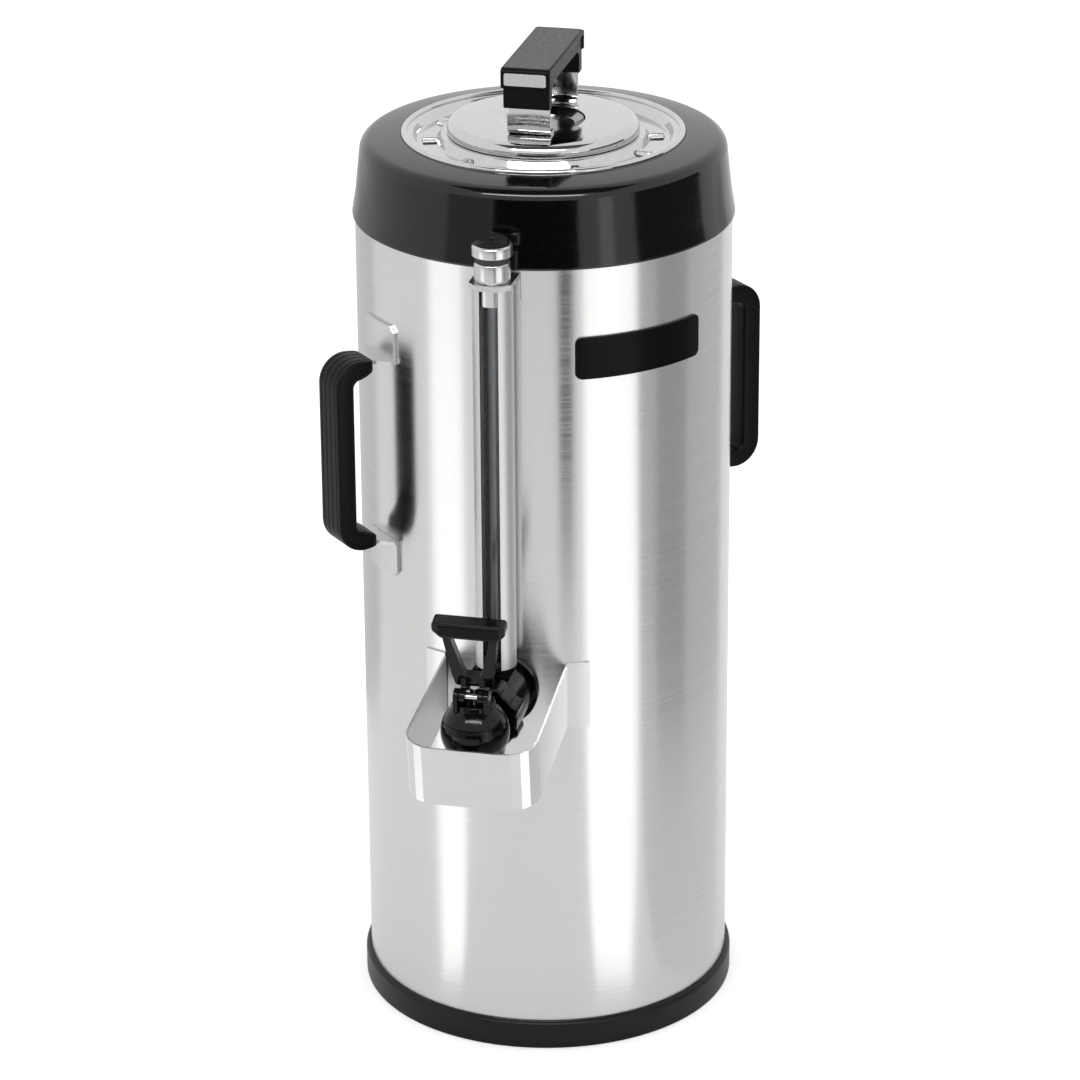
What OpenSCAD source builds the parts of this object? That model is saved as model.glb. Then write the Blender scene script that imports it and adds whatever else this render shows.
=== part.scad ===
// Insulated gravity dispenser for coffee: a tall double-walled vessel in a
// brushed steel body, with a lift-off lid, a sight gauge and a front tap.
// Millimetres, +Z up, front of the body toward -Y, origin on the body axis
// at the underside of the foot.

/* [Body] */
// Outer radius of the steel body
body_r = 122; // [118:1:130]
// Wall of the steel body
shell_wall = 1; // [0.8:0.1:1.6]
// Height of the lower edge of the top collar
collar_z = 547; // [540:1:600]
// Height of the collar from its lower edge to the top of its shoulder
collar_h = 50.4; // [46:0.2:60]
// How far the lower edge of the collar stands out from the body
collar_flare = 1.6; // [1:0.1:4]
// How far the collar draws in between its lower edge and its shoulder
collar_draft = 5.2; // [4:0.1:6]
// Radius of the collar's rounded shoulder
collar_shoulder = 8; // [5:0.5:10]
// Wall of the collar moulding
collar_wall = 3; // [2:0.1:4]
// Height of the foot moulding
foot_h = 19.4; // [15:0.2:30]
// How far the foot stands out from the body
foot_flare = 3.5; // [2.5:0.1:6]
// Thickness of the floor of the foot
foot_floor = 4; // [3:0.5:6]

/* [Vessel] */
// Gap between the body and the vacuum jacket
jacket_gap = 7; // [5:0.5:9]
// Gap between the vacuum jacket and the inner vessel
vacuum_gap = 7.2; // [5:0.2:9]
// Wall of the vessel and of its jacket
vessel_wall = 0.8; // [0.6:0.1:1.2]
// Radius of the vessel's neck
neck_r = 58; // [54:0.5:60]
// Height of the neck between the shoulder of the vessel and its flange
neck_h = 28; // [24:1:32]
// Bore of the outlet from the vessel to the tap
outlet_bore_r = 9; // [7:0.5:10]
// Wall of the outlet tube
outlet_wall = 3; // [2:0.5:4]

/* [Lid] */
// Width of the collar's top between its shoulder and the mouth ring
collar_land = 22; // [18:0.5:26]
// Rise of the collar's top toward the mouth ring
collar_rise = 2.6; // [1.5:0.1:4]
// Sheet thickness of the mouth ring and the lid
pressed_wall = 1.2; // [0.8:0.1:1.4]
// Depth of the pressed channel round the mouth
channel_depth = 5.5; // [4:0.1:6]
// Radius of the lid
lid_r = 62; // [61.5:0.25:64]
// Height of the lid's raised ring above the mouth ring
lid_rise = 8.5; // [7:0.1:11]
// Depth of the dish in the middle of the lid
lid_dish = 4; // [2:0.1:5]
// Depth of the insulating plug below the lid's rim
plug_depth = 13; // [10:0.5:14]
// Length of the lid grip, front to back
lid_grip_l = 100; // [94:1:104]
// Width of the lid grip
lid_grip_w = 32; // [31.5:0.5:36]
// Height of the lid grip's top above the lid
lid_grip_top = 46; // [42:0.5:56]
// Height of the black part of the lid grip
lid_grip_h = 27; // [22:0.5:30]
// Width of the steel strap of the lid handle
lid_strap_w = 28; // [20:0.5:28]
// Thickness of the steel straps inside the grips
strap_t = 2.2; // [1.6:0.1:2.6]

/* [Side handles] */
// Angle of the handle line from the front, toward the left
handle_turn = 46.5; // [40:0.5:60]
// Distance of the middle of the side handles below the collar
handle_drop = 139; // [120:1:160]
// Height between the two arms of a handle strap
handle_span = 124; // [118:1:136]
// Reach of a handle strap from the body
handle_reach = 35.5; // [34:0.5:38]
// Bend radius of the handle straps
handle_bend = 15; // [14:0.5:18]
// Width of the side handles' straps inside the grips
strap_w = 20; // [16:0.5:21]
// Width of the side grips
grip_w = 26; // [25:0.5:30]
// Thickness of a grip on the hand side of its strap
grip_t = 10; // [8:0.5:11]
// Width of the tabs that hold a strap to the body
tab_w = 38; // [32:1:44]
// Height of those tabs
tab_h = 24; // [18:0.5:28]

/* [Badge] */
// Angle of the middle of the badge from the front, toward the right
badge_turn = 44; // [35:1:60]
// Width of the badge, straight across
badge_w = 91; // [70:1:100]
// Height of the badge
badge_h = 27.5; // [20:0.5:36]
// Distance of the badge's middle below the collar
badge_drop = 59; // [45:1:80]
// Thickness of the badge
badge_t = 1.4; // [1:0.1:3]

/* [Sight gauge] */
// Distance of the gauge's axis from the body
gauge_standoff = 18; // [16:0.5:24]
// Outer radius of the gauge glass
glass_r = 6.5; // [5:0.25:7]
// Wall of the gauge glass
glass_wall = 1.8; // [1.2:0.1:2.5]
// Outer radius of the slotted tube round the glass
shield_r = 13; // [11.5:0.25:14]
// Width of the slot in that tube
shield_slot = 12; // [10:0.5:16]
// Distance of the gauge bracket below the collar
bracket_drop = 1; // [0.5:0.5:8]
// Radius of the gauge cap
cap_r = 13; // [12:0.25:14]

/* [Tap] */
// Height of the tap's inlet
tap_z = 262; // [255:1:280]
// Distance of the tap's axis from the body
tap_reach = 76; // [75:0.5:84]
// Radius of the shank
shank_r = 20.5; // [19:0.25:22]
// Radius of the tap's bulb
bulb_r = 22; // [21:0.25:23]
// Drop of the spout below the inlet
spout_drop = 46; // [36:1:52]
// Bore radius of the spout
spout_bore_r = 6.5; // [5:0.25:7]
// Width of the tap handle across its top
lever_w = 47; // [44:1:56]
// Length of the tap handle above its yoke
lever_h = 48; // [44:1:60]
// Lean of the tap handle to the front when it is shut
lever_lean = 15; // [0:1:16]
// Opening angle of the tap handle
lever_open = 35; // [25:1:36]

/* [Tap guard] */
// Distance of the guard's front from the body
guard_reach = 104; // [102:0.5:114]
// Half the width of the guard at its front
guard_half = 43; // [40:0.5:48]
// Height of the guard strip
guard_h = 41.5; // [34:0.5:46]
// Height of the guard's upper edge at the body
guard_top = 278; // [274:1:292]
// Slope of the guard down to the front, in degrees
guard_slope = 7.7; // [4:0.1:9]
// Thickness of the guard strip
guard_t = 1.5; // [1:0.1:2]
// Bend radius of the guard's front corners
guard_corner = 20; // [14:1:26]
// Width of the tabs that hold the guard to the body
guard_tab = 13; // [10:0.5:16]

/* [Hidden] */
$fn = 96;

// Clearance between pieces that seat on each other
fit = 0.1;
// Radial clearance of a pin or stem that turns or slides
run = 0.05;
// Overlap used where a cut runs past a face
eps = 1;

// Heights of the body, from the foot up
shell_foot_z = foot_floor + 2;
shell_top_z = collar_z + 5;
collar_skirt = 16;
collar_tongue = 6;
collar_top_z = collar_z + collar_h;
foot_lip_h = 9;
foot_lip_t = 3;

// Outlet, vessel and jacket
outlet_r = outlet_bore_r + outlet_wall;
vessel_corner = 8;
jacket_corner = 12;
shoulder_r = 12;
jacket_r = body_r - shell_wall - jacket_gap;
vessel_r = jacket_r - vessel_wall - vacuum_gap;
vessel_z = tap_z - outlet_bore_r - vessel_corner;
jacket_z = vessel_z - vessel_wall - 13;
neck_top_z = collar_top_z + collar_rise - pressed_wall - 3;
neck_flange_r = neck_r + 7.5;
vessel_top_z = neck_top_z - neck_h;
jacket_top_z = vessel_top_z + vacuum_gap;
jacket_hem = 6;
seam_z = vessel_top_z - shoulder_r - 3;
support_w = 22;
support_h = 14;

// Mouth ring: levels and radii from the throat outward
ring_z = collar_top_z + collar_rise;
ring_r = body_r + collar_flare - collar_draft - collar_shoulder + 3 - collar_land;
throat_r = neck_r - vessel_wall - fit - pressed_wall;
lip_r = neck_flange_r + fit;
channel_in_r = lip_r + 3;
flange_in_r = ring_r - 7.5;
channel_out_r = flange_in_r - 2.5;
channel_z = ring_z - channel_depth;
throat_z = neck_top_z - 14;
lug_l = 11;
lug_w = 7;
lug_h = 2.6;
lug_angles = [-30, 30, -75, 75, -106, 106, 150, 210];

// Lid
gasket_h = 1.5;
plug_rim_z = ring_z + fit + gasket_h;
lid_edge_z = ring_z + 0.3;
lid_ring_z = ring_z + lid_rise;
lid_ring_in = 27;
lid_round = 6;
lid_ring_out = lid_r - lid_round;
plug_r = throat_r - 2;
grip_top_z = lid_ring_z + lid_grip_top;
lid_grip_z = grip_top_z - lid_grip_h;
lid_strap_half = lid_grip_l / 2 - 9;
lid_strap_top = grip_top_z - 9;
lid_foot = 12;
lid_lip_h = 10;
lid_lip_t = 3;
grip_lip = 0.5;

// Side handles
handle_z = collar_z - handle_drop;
handle_r = body_r + handle_reach;
handle_half = handle_span / 2;
grip_gap = 11;
grip_back = 2.7;
tab_cut = 4;

// Sight gauge
gauge_fwd = body_r + gauge_standoff;
bracket_t = 3.5;
bracket_z = collar_z - bracket_drop - bracket_t;
head_z = bracket_z + bracket_t;
head_h = 12.5;
head_r = cap_r - 1.5;
seal_h = 4;
cap_z = head_z + head_h + seal_h;
cap_h = 7.5;
vent_h = 3;
spigot_r = 9;
ferrule_r = min(cap_r, shield_r) - 2.5;
ferrule_l = 11.5;
glass_top_z = head_z + 10;
boss_h = 25;
boss_z = tap_z + boss_h;
glass_foot_z = boss_z - 9;

// Tap: distances forward of the body axis and heights
tap_fwd = body_r + tap_reach;
washer_t = 2;
flange_t = 2.6;
flange_r = shank_r + 3;
boss_wall = 4;
boss_flange_t = 3;
nut_end = tap_fwd - bulb_r - 1;
nut_web = 3.5;
inlet_flange_t = 2.8;
shank_end = nut_end - nut_web - inlet_flange_t - 2 * fit;
thread_l = 12;
thread_r = shank_r - 4;
nut_r = shank_r + 1;
nut_l = 18;
inlet_r = outlet_bore_r + 2.5;
inlet_bore_r = outlet_bore_r - 1;
inlet_flange_r = thread_r - 2;
nut_lobes = 8;
bulb_half = 12;
dome_z = tap_z + 4;
chamber_r = bulb_r - 10;
seat_z = tap_z - 16;
neck_thread_r = bulb_r - 9;
thread_gap = 0.35;
bonnet_z = tap_z + bulb_half + 0.2;
web_z = bonnet_z + 7.8;
pin_z = tap_z + 30;
deck_z = pin_z - 5.5;
pin_offset = 7;
pin_r = 2;
cross_r = 1.6;
cross_play = 0.35;
stem_r = 3;
stem_top_z = pin_z + 3.5;
cheek_in = stem_r + 1;
cheek_t = 4;
cheek_r = 4.5;
ear_in = cheek_in + cheek_t + 0.4;
ear_t = 3;
ear_r = 5;
deck_r = 13;
ear_foot_z = web_z + 0.3;
cup_r = chamber_r - 2;
cup_h = 9.9;
cup_z = seat_z + fit;
spring_wire = 1.2;
spring_r = stem_r + 3.5;
spring_turns = 5;
spring_z = cup_z + cup_h + fit;
spring_top_z = web_z - fit;
slot_reach = pin_offset / cos(lever_open);
yoke_h = 8;
yoke_half = 13.6;
leg_half = 17.5;
yoke_drop = 2;
yoke_trim = 2;
lever_bar = 12;
lever_t = 9.6;
loop_z = 6.3;
loop_half = 4;
loop_top_half = 11.5;
guard_margin = 2;

// Colours
steel = [0.78, 0.78, 0.77];
mirror_steel = [0.86, 0.86, 0.87];
black_gloss = [0.03, 0.03, 0.03];
black_matt = [0.09, 0.09, 0.09];
rubber_grey = [0.16, 0.16, 0.16];
clear_glass = [0.30, 0.32, 0.33, 0.6];

// Points of an arc about c from angle a0 to a1
function arc(c, r, a0, a1, n = 6) =
    [for (i = [0:n]) let (a = a0 + (a1 - a0) * i / n) c + r * [cos(a), sin(a)]];
function unit(v) = v / norm(v);
function left_of(a, b) = let (d = unit(b - a)) [-d[1], d[0]];
function reversed(list) = [for (i = [len(list) - 1:-1:0]) list[i]];
function turn_between(a, b) = ((b - a + 540) % 360) - 180;
function heading(v) = atan2(v[1], v[0]);

// A path moved sideways by t, to its left, with mitred corners
function beside(p, t) = [for (i = [0:len(p) - 1]) let (
    last = len(p) - 1,
    n1 = i == 0 ? left_of(p[0], p[1]) : left_of(p[i - 1], p[i]),
    n2 = i == last ? left_of(p[last - 1], p[last]) : left_of(p[i], p[i + 1]))
    p[i] + t * (n1 + n2) / (1 + n1 * n2)];

// Outline of a sheet of thickness t that lies to the left of a path
function sheet(p, t) = concat(p, reversed(beside(p, t)));

// The points that round the corner b between a and c
function corner(a, b, c, r, n = 5) = let (
    u = unit(a - b),
    v = unit(c - b),
    half = acos(max(-1, min(1, u * v))) / 2,
    centre = b + unit(u + v) * r / sin(half),
    start = b + u * r / tan(half),
    stop = b + v * r / tan(half),
    a0 = heading(start - centre))
    arc(centre, r, a0, a0 + turn_between(a0, heading(stop - centre)), n);

// A path, or a closed outline, with its corners rounded
function round_path(p, r) = concat([p[0]],
    [for (i = [1:len(p) - 2]) each corner(p[i - 1], p[i], p[i + 1], r)], [p[len(p) - 1]]);
function round_outline(p, r) = let (n = len(p))
    [for (i = [0:n - 1]) each corner(p[(i + n - 1) % n], p[i], p[(i + 1) % n], r)];
function box_outline(w, h) = [[-w / 2, -h / 2], [w / 2, -h / 2], [w / 2, h / 2], [-w / 2, h / 2]];

// A round bar along the tap's inlet, from one distance forward of the axis to another
module forward_bar(r, from, to) {
    translate([0, -from, tap_z]) rotate([90, 0, 0]) cylinder(r = r, h = to - from);
}

// A tube about the body axis
module tube(r_in, r_out, z, h) {
    translate([0, 0, z]) rotate_extrude() translate([r_in, 0]) square([r_out - r_in, h]);
}

// A plate bent round the body, with the outline of its children seen from the front
module body_plate(t) {
    intersection() {
        tube(body_r + fit, body_r + fit + t, 0, collar_z);
        translate([0, -body_r / 2, 0]) rotate([90, 0, 0]) linear_extrude(body_r) children();
    }
}

// A round cutter as large as the body, for pieces that seat on it
module body_cutter(gap) {
    cylinder(r = body_r + gap, h = collar_z);
}

// Foot: a moulded dish with a groove for the lower edge of the body
module base_foot() {
    foot_r = body_r + foot_flare;
    groove_in = body_r - shell_wall - fit;
    lip_z = foot_floor + foot_lip_h;
    color(black_matt) rotate_extrude() polygon(concat(
        [[0, 0], [foot_r - 1, 0], [foot_r, 1]],
        arc([foot_r - foot_flare + fit, foot_h - foot_flare + fit], foot_flare - fit, 0, 90),
        [[body_r + fit, shell_foot_z], [groove_in, shell_foot_z], [groove_in, lip_z],
            [groove_in - foot_lip_t, lip_z], [groove_in - foot_lip_t, foot_floor], [0, foot_floor]]));
}

// Body: a rolled steel tube with the hole for the outlet
module outer_shell() {
    color(steel) difference() {
        tube(body_r - shell_wall, body_r, shell_foot_z, shell_top_z - shell_foot_z);
        forward_bar(outlet_r + fit, vessel_r, body_r + eps);
    }
}

// Shelf inside the body that carries the vessel
module support_ring() {
    r = body_r - shell_wall - fit;
    path = [[r, jacket_z - support_h], [r, jacket_z], [r - support_w, jacket_z]];
    color(steel) rotate_extrude() polygon(sheet(path, pressed_wall));
}

// Outlines of a bottle's two ends: bottom with its corner, and shoulder with the start of the neck
function bottle_foot(r, z, corner_r) = concat(
    [[0, z]],
    arc([r - corner_r, z + corner_r], corner_r, -90, 0));
function bottle_shoulder(r, top, neck) = concat(
    arc([r - shoulder_r, top - shoulder_r], shoulder_r, 0, 90),
    [[neck, top]]);

// Outer wall of the vacuum vessel, open at the neck
module vacuum_jacket() {
    hem_r = neck_r + fit + vessel_wall;
    path = concat(bottle_foot(jacket_r, jacket_z, jacket_corner),
        bottle_shoulder(jacket_r, jacket_top_z, hem_r), [[hem_r, jacket_top_z + jacket_hem]]);
    color(steel) difference() {
        rotate_extrude() polygon(sheet(path, vessel_wall));
        forward_bar(outlet_r + fit, vessel_r, body_r);
    }
}

// Inner vessel: a drawn cup with the hole of the outlet
module inner_vessel() {
    path = concat(bottle_foot(vessel_r, vessel_z, vessel_corner), [[vessel_r, seam_z]]);
    color(mirror_steel) difference() {
        rotate_extrude() polygon(sheet(path, vessel_wall));
        forward_bar(outlet_bore_r, vessel_r / 2, body_r);
    }
}

// Shoulder of the vessel: a pressed ring, welded to the cup
module vessel_shoulder() {
    path = concat([[vessel_r, seam_z + fit]], bottle_shoulder(vessel_r, vessel_top_z, neck_r + fit));
    color(mirror_steel) rotate_extrude() polygon(sheet(path, vessel_wall));
}

// Flanged neck, welded into the shoulder
module vessel_neck() {
    flange_z = neck_top_z - vessel_wall;
    path = [[neck_r, vessel_top_z - vessel_wall], [neck_r, flange_z], [neck_flange_r, flange_z]];
    color(mirror_steel) rotate_extrude() polygon(sheet(path, vessel_wall));
}

// Stainless tube from the vessel's wall through the jacket and the body
module outlet_tube() {
    color(steel) difference() {
        forward_bar(outlet_r, vessel_r / 2, gauge_fwd - glass_r);
        forward_bar(outlet_bore_r, vessel_r / 2 - eps, gauge_fwd);
        cylinder(r = vessel_r, h = collar_z);
    }
}

// Top collar: a moulded ring that caps the body
module top_collar() {
    outer = body_r + collar_flare;
    upper = outer - collar_draft;
    turn_z = collar_top_z - collar_shoulder;
    seat_top = ring_z - pressed_wall - fit;
    seat_in = flange_in_r + 2.5;
    skirt = body_r - shell_wall - fit;
    under_z = turn_z - collar_wall;
    color(black_gloss) rotate_extrude() polygon(concat(
        [[body_r + fit, collar_z], [outer - 0.6, collar_z], [outer, collar_z + 1],
            [outer - 0.45 * collar_draft, collar_z + collar_skirt]],
        arc([upper - collar_shoulder, turn_z], collar_shoulder, 0, 68),
        [[upper - collar_shoulder + 3, collar_top_z],
            [ring_r + fit, ring_z - 0.3], [ring_r + fit, seat_top], [seat_in, seat_top],
            [seat_in, seat_top - collar_wall], [ring_r, seat_top - collar_wall - 0.5],
            [upper - collar_shoulder, under_z + 4], [upper - collar_wall, under_z - 3],
            [skirt - collar_wall, shell_top_z + collar_tongue],
            [skirt - collar_wall, collar_z - collar_tongue], [skirt, collar_z - collar_tongue],
            [skirt, shell_top_z], [body_r + fit, shell_top_z]]));
}

// Seal between the vessel's flange and the mouth ring
module neck_seal() {
    h = ring_z - pressed_wall - fit - neck_top_z;
    color(rubber_grey) tube(neck_r + 1.5, neck_flange_r - 1, neck_top_z, h);
}

// Mouth ring: pressed steel from the throat over a lip and a channel to the outer flange
module mouth_ring() {
    path = concat(
        [[throat_r, throat_z]],
        arc([throat_r + 2.5, ring_z - 2.5], 2.5, 180, 90),
        [[lip_r, ring_z], [channel_in_r, channel_z], [channel_out_r, channel_z], [flange_in_r, ring_z],
            [ring_r - 0.6, ring_z], [ring_r, ring_z - 0.5], [ring_r, ring_z - 1]]);
    rolled = arc([ring_r - 2, ring_z], 2, 0, 180);
    mid = (channel_in_r + channel_out_r) / 2;
    color(mirror_steel) {
        rotate_extrude() polygon(sheet(path, -pressed_wall));
        rotate_extrude() polygon(rolled);
        for (a = lug_angles) rotate(a) translate([0, -mid, channel_z]) mouth_lug();
    }
}

// A raised lug pressed into the channel, with sloping sides
module mouth_lug() {
    section = [[-lug_w / 2, -pressed_wall / 2], [lug_w / 2, -pressed_wall / 2],
        [lug_w / 2 - 1.5, lug_h], [-lug_w / 2 + 1.5, lug_h]];
    rotate([90, 0, 0]) translate([0, 0, -lug_l / 2]) linear_extrude(lug_l) polygon(section);
}

// Path of the lid's upper face, from its middle to its rim
function lid_path() = concat(
    [[0, lid_ring_z - lid_dish], [lid_ring_in - 7, lid_ring_z - lid_dish], [lid_ring_in, lid_ring_z],
        [lid_ring_out, lid_ring_z]],
    arc([lid_ring_out, lid_ring_z - lid_round], lid_round, 75, 0),
    [[lid_r, lid_edge_z]]);

// Lid: a pressed dish with a raised ring and a turned-down rim
module lid_disc() {
    color(mirror_steel) rotate_extrude() polygon(sheet(lid_path(), -pressed_wall));
}

// Insulating plug that fills the lid and hangs in the throat
module lid_plug() {
    under = beside(lid_path(), -(pressed_wall + fit));
    rim = under[len(under) - 1];
    color(black_matt) rotate_extrude() polygon(concat(
        [for (i = [0:len(under) - 2]) under[i]],
        [[rim[0], plug_rim_z], [plug_r, plug_rim_z], [plug_r, ring_z - plug_depth + 2],
            [plug_r - 2, ring_z - plug_depth], [0, ring_z - plug_depth]]));
}

// Gasket between the plug's rim and the lip of the mouth
module lid_gasket() {
    color(rubber_grey) tube(throat_r + 2.5, lid_r - pressed_wall - 2 * fit, ring_z + fit, gasket_h);
}

// Steel strap of the lid handle: two feet, two legs and the bar between them
module lid_strap() {
    half = lid_strap_half;
    foot_z = lid_ring_z + fit;
    path = round_path([[-half + lid_foot, foot_z], [-half, foot_z], [-half, lid_strap_top],
        [half, lid_strap_top], [half, foot_z], [half - lid_foot, foot_z]], 3);
    color(mirror_steel) rotate([90, 0, 90]) translate([0, 0, -lid_strap_w / 2])
        linear_extrude(lid_strap_w) polygon(sheet(path, -strap_t));
}

// Black grip over the lid's strap: a long bar with turned-down ends and chamfered edges
module lid_grip() {
    half = lid_grip_l / 2;
    inner = lid_strap_half - strap_t - grip_lip;
    inner_top = lid_strap_top - strap_t - grip_lip;
    block = half - lid_lip_t;
    lip_z = grip_top_z - lid_lip_h;
    side = concat(
        [[-block, lid_grip_z], [-block, lip_z - 1], [-half, lip_z]],
        corner([-half, lid_grip_z], [-half, grip_top_z], [half, grip_top_z], 3),
        corner([-half, grip_top_z], [half, grip_top_z], [half, lid_grip_z], 3),
        [[half, lip_z], [block, lip_z - 1], [block, lid_grip_z], [inner, lid_grip_z]],
        corner([inner, lid_grip_z], [inner, inner_top], [-inner, inner_top], 5),
        corner([inner, inner_top], [-inner, inner_top], [-inner, lid_grip_z], 5),
        [[-inner, lid_grip_z]]);
    w = lid_grip_w / 2;
    section = [[-w, 0], [w, 0], [w, grip_top_z - 3], [w - 2.5, grip_top_z - 0.6], [w - 4, grip_top_z],
        [-w + 4, grip_top_z], [-w + 2.5, grip_top_z - 0.6], [-w, grip_top_z - 3]];
    reach = lid_strap_half + fit;
    color(black_matt) difference() {
        intersection() {
            rotate([90, 0, 90]) translate([0, 0, -w]) linear_extrude(lid_grip_w) polygon(side);
            rotate([90, 0, 0]) translate([0, 0, -half - eps])
                linear_extrude(lid_grip_l + 2 * eps) polygon(section);
        }
        translate([-lid_strap_w / 2 - fit, -reach, lid_grip_z - eps])
            cube([lid_strap_w + 2 * fit, 2 * reach, lid_strap_top + fit - lid_grip_z + eps]);
    }
}

// A bar of the children's section along a side handle: an arm, a bend, the upright and back
module handle_sweep(arm_start) {
    straight = handle_half - handle_bend;
    translate([0, -handle_r, -straight]) linear_extrude(2 * straight) mirror([0, 1]) children();
    for (m = [0, 1]) mirror([0, 0, m]) {
        translate([0, -(handle_r - handle_bend), straight]) rotate([90, 0, -90])
            rotate_extrude(angle = 90) translate([handle_bend, 0]) mirror([1, -1]) children();
        translate([0, -arm_start, handle_half]) rotate([90, 0, 0])
            linear_extrude(handle_r - handle_bend - arm_start) children();
    }
}

// Places a side handle, drawn at the front and about its own middle height
module handle_place(a) {
    translate([0, 0, handle_z]) rotate(a) children();
}

// Outline of the tab above an arm, with its upper corners cut off
function tab_outline() = let (w = tab_w / 2, low = handle_half - strap_t / 2, high = handle_half + tab_h)
    [[-w, low], [w, low], [w, high - tab_cut], [w - tab_cut, high], [-w + tab_cut, high],
        [-w, high - tab_cut]];

// Steel strap of a side handle: tabs bent up and down on the body, tapered arms and the grip's bar
module handle_strap(a) {
    wide = tab_w / 2;
    narrow = strap_w / 2;
    arm = [[-wide, 0], [wide, 0], [wide, -body_r - strap_t], [narrow, -body_r - grip_gap + 1],
        [-narrow, -body_r - grip_gap + 1], [-wide, -body_r - strap_t]];
    color(steel) handle_place(a) difference() {
        union() {
            handle_sweep(body_r + grip_gap) square([strap_w, strap_t], center = true);
            for (m = [0, 1]) mirror([0, 0, m]) {
                translate([0, 0, -handle_z]) body_plate(strap_t)
                    translate([0, handle_z]) polygon(tab_outline());
                translate([0, 0, handle_half - strap_t / 2]) linear_extrude(strap_t) polygon(arm);
                translate([-narrow, -body_r - grip_gap, handle_half - strap_t / 2])
                    cube([strap_w, grip_gap, strap_t]);
            }
        }
        translate([0, 0, -handle_z]) body_cutter(fit);
    }
}

// Outline of a side grip's section, thick on the hand side and ridged outside
function grip_section() = let (w = grip_w / 2, b = grip_back, t = -grip_t)
    [[-w, t + 2.5], [-w + 2.5, t], [w - 2.5, t], [w, t + 2.5],
        [w, b - 1.2], [w - 1.2, b], [w - 7, b], [w - 8, b - 0.7],
        [-w + 8, b - 0.7], [-w + 7, b], [-w + 1.2, b], [-w, b - 1.2]];

// Black grip, a sleeve moulded round its strap
module handle_grip(a) {
    color(black_matt) handle_place(a) handle_sweep(body_r + grip_gap) difference() {
        polygon(grip_section());
        square([strap_w + 2 * fit, strap_t + 2 * fit], center = true);
    }
}

module handle_strap_left() { handle_strap(-handle_turn); }
module handle_strap_right() { handle_strap(180 - handle_turn); }
module handle_grip_left() { handle_grip(-handle_turn); }
module handle_grip_right() { handle_grip(180 - handle_turn); }

// Bare badge plate
module badge_plate() {
    color(black_gloss) rotate(badge_turn) body_plate(badge_t)
        translate([0, collar_z - badge_drop]) polygon(round_outline(box_outline(badge_w, badge_h), 4));
}

// Bracket that holds the head of the gauge to the body
module gauge_bracket() {
    w = shield_r + 0.5;
    front = gauge_fwd + shield_r + 0.5;
    cut = 6;
    shelf = [[-w, -body_r / 2], [-w, -front + cut], [-w + cut, -front], [w - cut, -front],
        [w, -front + cut], [w, -body_r / 2]];
    tab = [[-w, head_z - 18], [w, head_z - 18], [w, head_z], [-w, head_z]];
    color(mirror_steel) difference() {
        union() {
            body_plate(1.5) polygon(tab);
            translate([0, 0, bracket_z]) linear_extrude(bracket_t) polygon(shelf);
        }
        body_cutter(fit);
        translate([0, -gauge_fwd, bracket_z - eps]) cylinder(r = ferrule_r + fit, h = bracket_t + 2 * eps);
    }
}

// Turned head of the gauge, with a ferrule through the bracket and a spigot for the cap
module gauge_head() {
    top = head_z + head_h;
    spigot_top = cap_z + cap_h - 3;
    foot = bracket_z - ferrule_l;
    color(mirror_steel) translate([0, -gauge_fwd, 0]) rotate_extrude() polygon([
        [glass_r + fit, foot], [ferrule_r, foot], [ferrule_r, head_z + fit], [head_r, head_z + fit],
        [head_r, top - 1], [head_r - 1, top],
        [spigot_r, top], [spigot_r, spigot_top], [glass_r - glass_wall, spigot_top],
        [glass_r - glass_wall, glass_top_z + fit], [glass_r + fit, glass_top_z + fit]]);
}

// Black rings: under the cap, and at the foot of the glass
module gauge_seals() {
    color(rubber_grey) translate([0, -gauge_fwd, 0]) {
        translate([0, 0, head_z + head_h + fit]) rotate_extrude()
            translate([spigot_r + fit, 0]) square([head_r - 1 - spigot_r, seal_h - 2 * fit]);
        translate([0, 0, boss_z + fit]) rotate_extrude() translate([glass_r + fit, 0]) square([2.5, 3]);
    }
}

// Slotted steel tube that shields the glass
module gauge_shield() {
    h = bracket_z - boss_z;
    color(steel) translate([0, -gauge_fwd, boss_z]) difference() {
        rotate_extrude() translate([shield_r - 1.2, 0]) square([1.2, h]);
        translate([-shield_slot / 2, -shield_r - eps, -eps])
            cube([shield_slot, shield_r + eps, h + 2 * eps]);
    }
}

// Gauge glass
module gauge_glass() {
    color(clear_glass) translate([0, -gauge_fwd, glass_foot_z]) rotate_extrude()
        translate([glass_r - glass_wall, 0]) square([glass_wall, glass_top_z - glass_foot_z]);
}

// Screw cap of the gauge, with a bevelled rim
module gauge_cap() {
    color(mirror_steel) translate([0, -gauge_fwd, cap_z]) rotate_extrude() polygon([
        [spigot_r + run, 0], [cap_r - 1, 0], [cap_r, 1], [cap_r, cap_h - 1.5], [cap_r - 1.5, cap_h],
        [2, cap_h], [2, cap_h - 2], [spigot_r + run, cap_h - 2]]);
}

// Black vent disc on the cap, with a small breathing hole
module gauge_vent() {
    color(black_matt) translate([0, -gauge_fwd, cap_z + cap_h + fit]) rotate_extrude() polygon([
        [1.5, 0], [cap_r - 2, 0], [cap_r - 2, vent_h - 2], [cap_r - 4, vent_h], [1.5, vent_h]]);
}

// Rubber washer between the shank and the body
module shank_washer() {
    color(rubber_grey) difference() {
        intersection() {
            tube(body_r + fit, body_r + washer_t, 0, collar_z);
            forward_bar(flange_r - 1, body_r / 2, body_r + flange_r);
        }
        forward_bar(outlet_r + fit, body_r / 2 - eps, body_r + flange_r + eps);
    }
}

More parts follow.
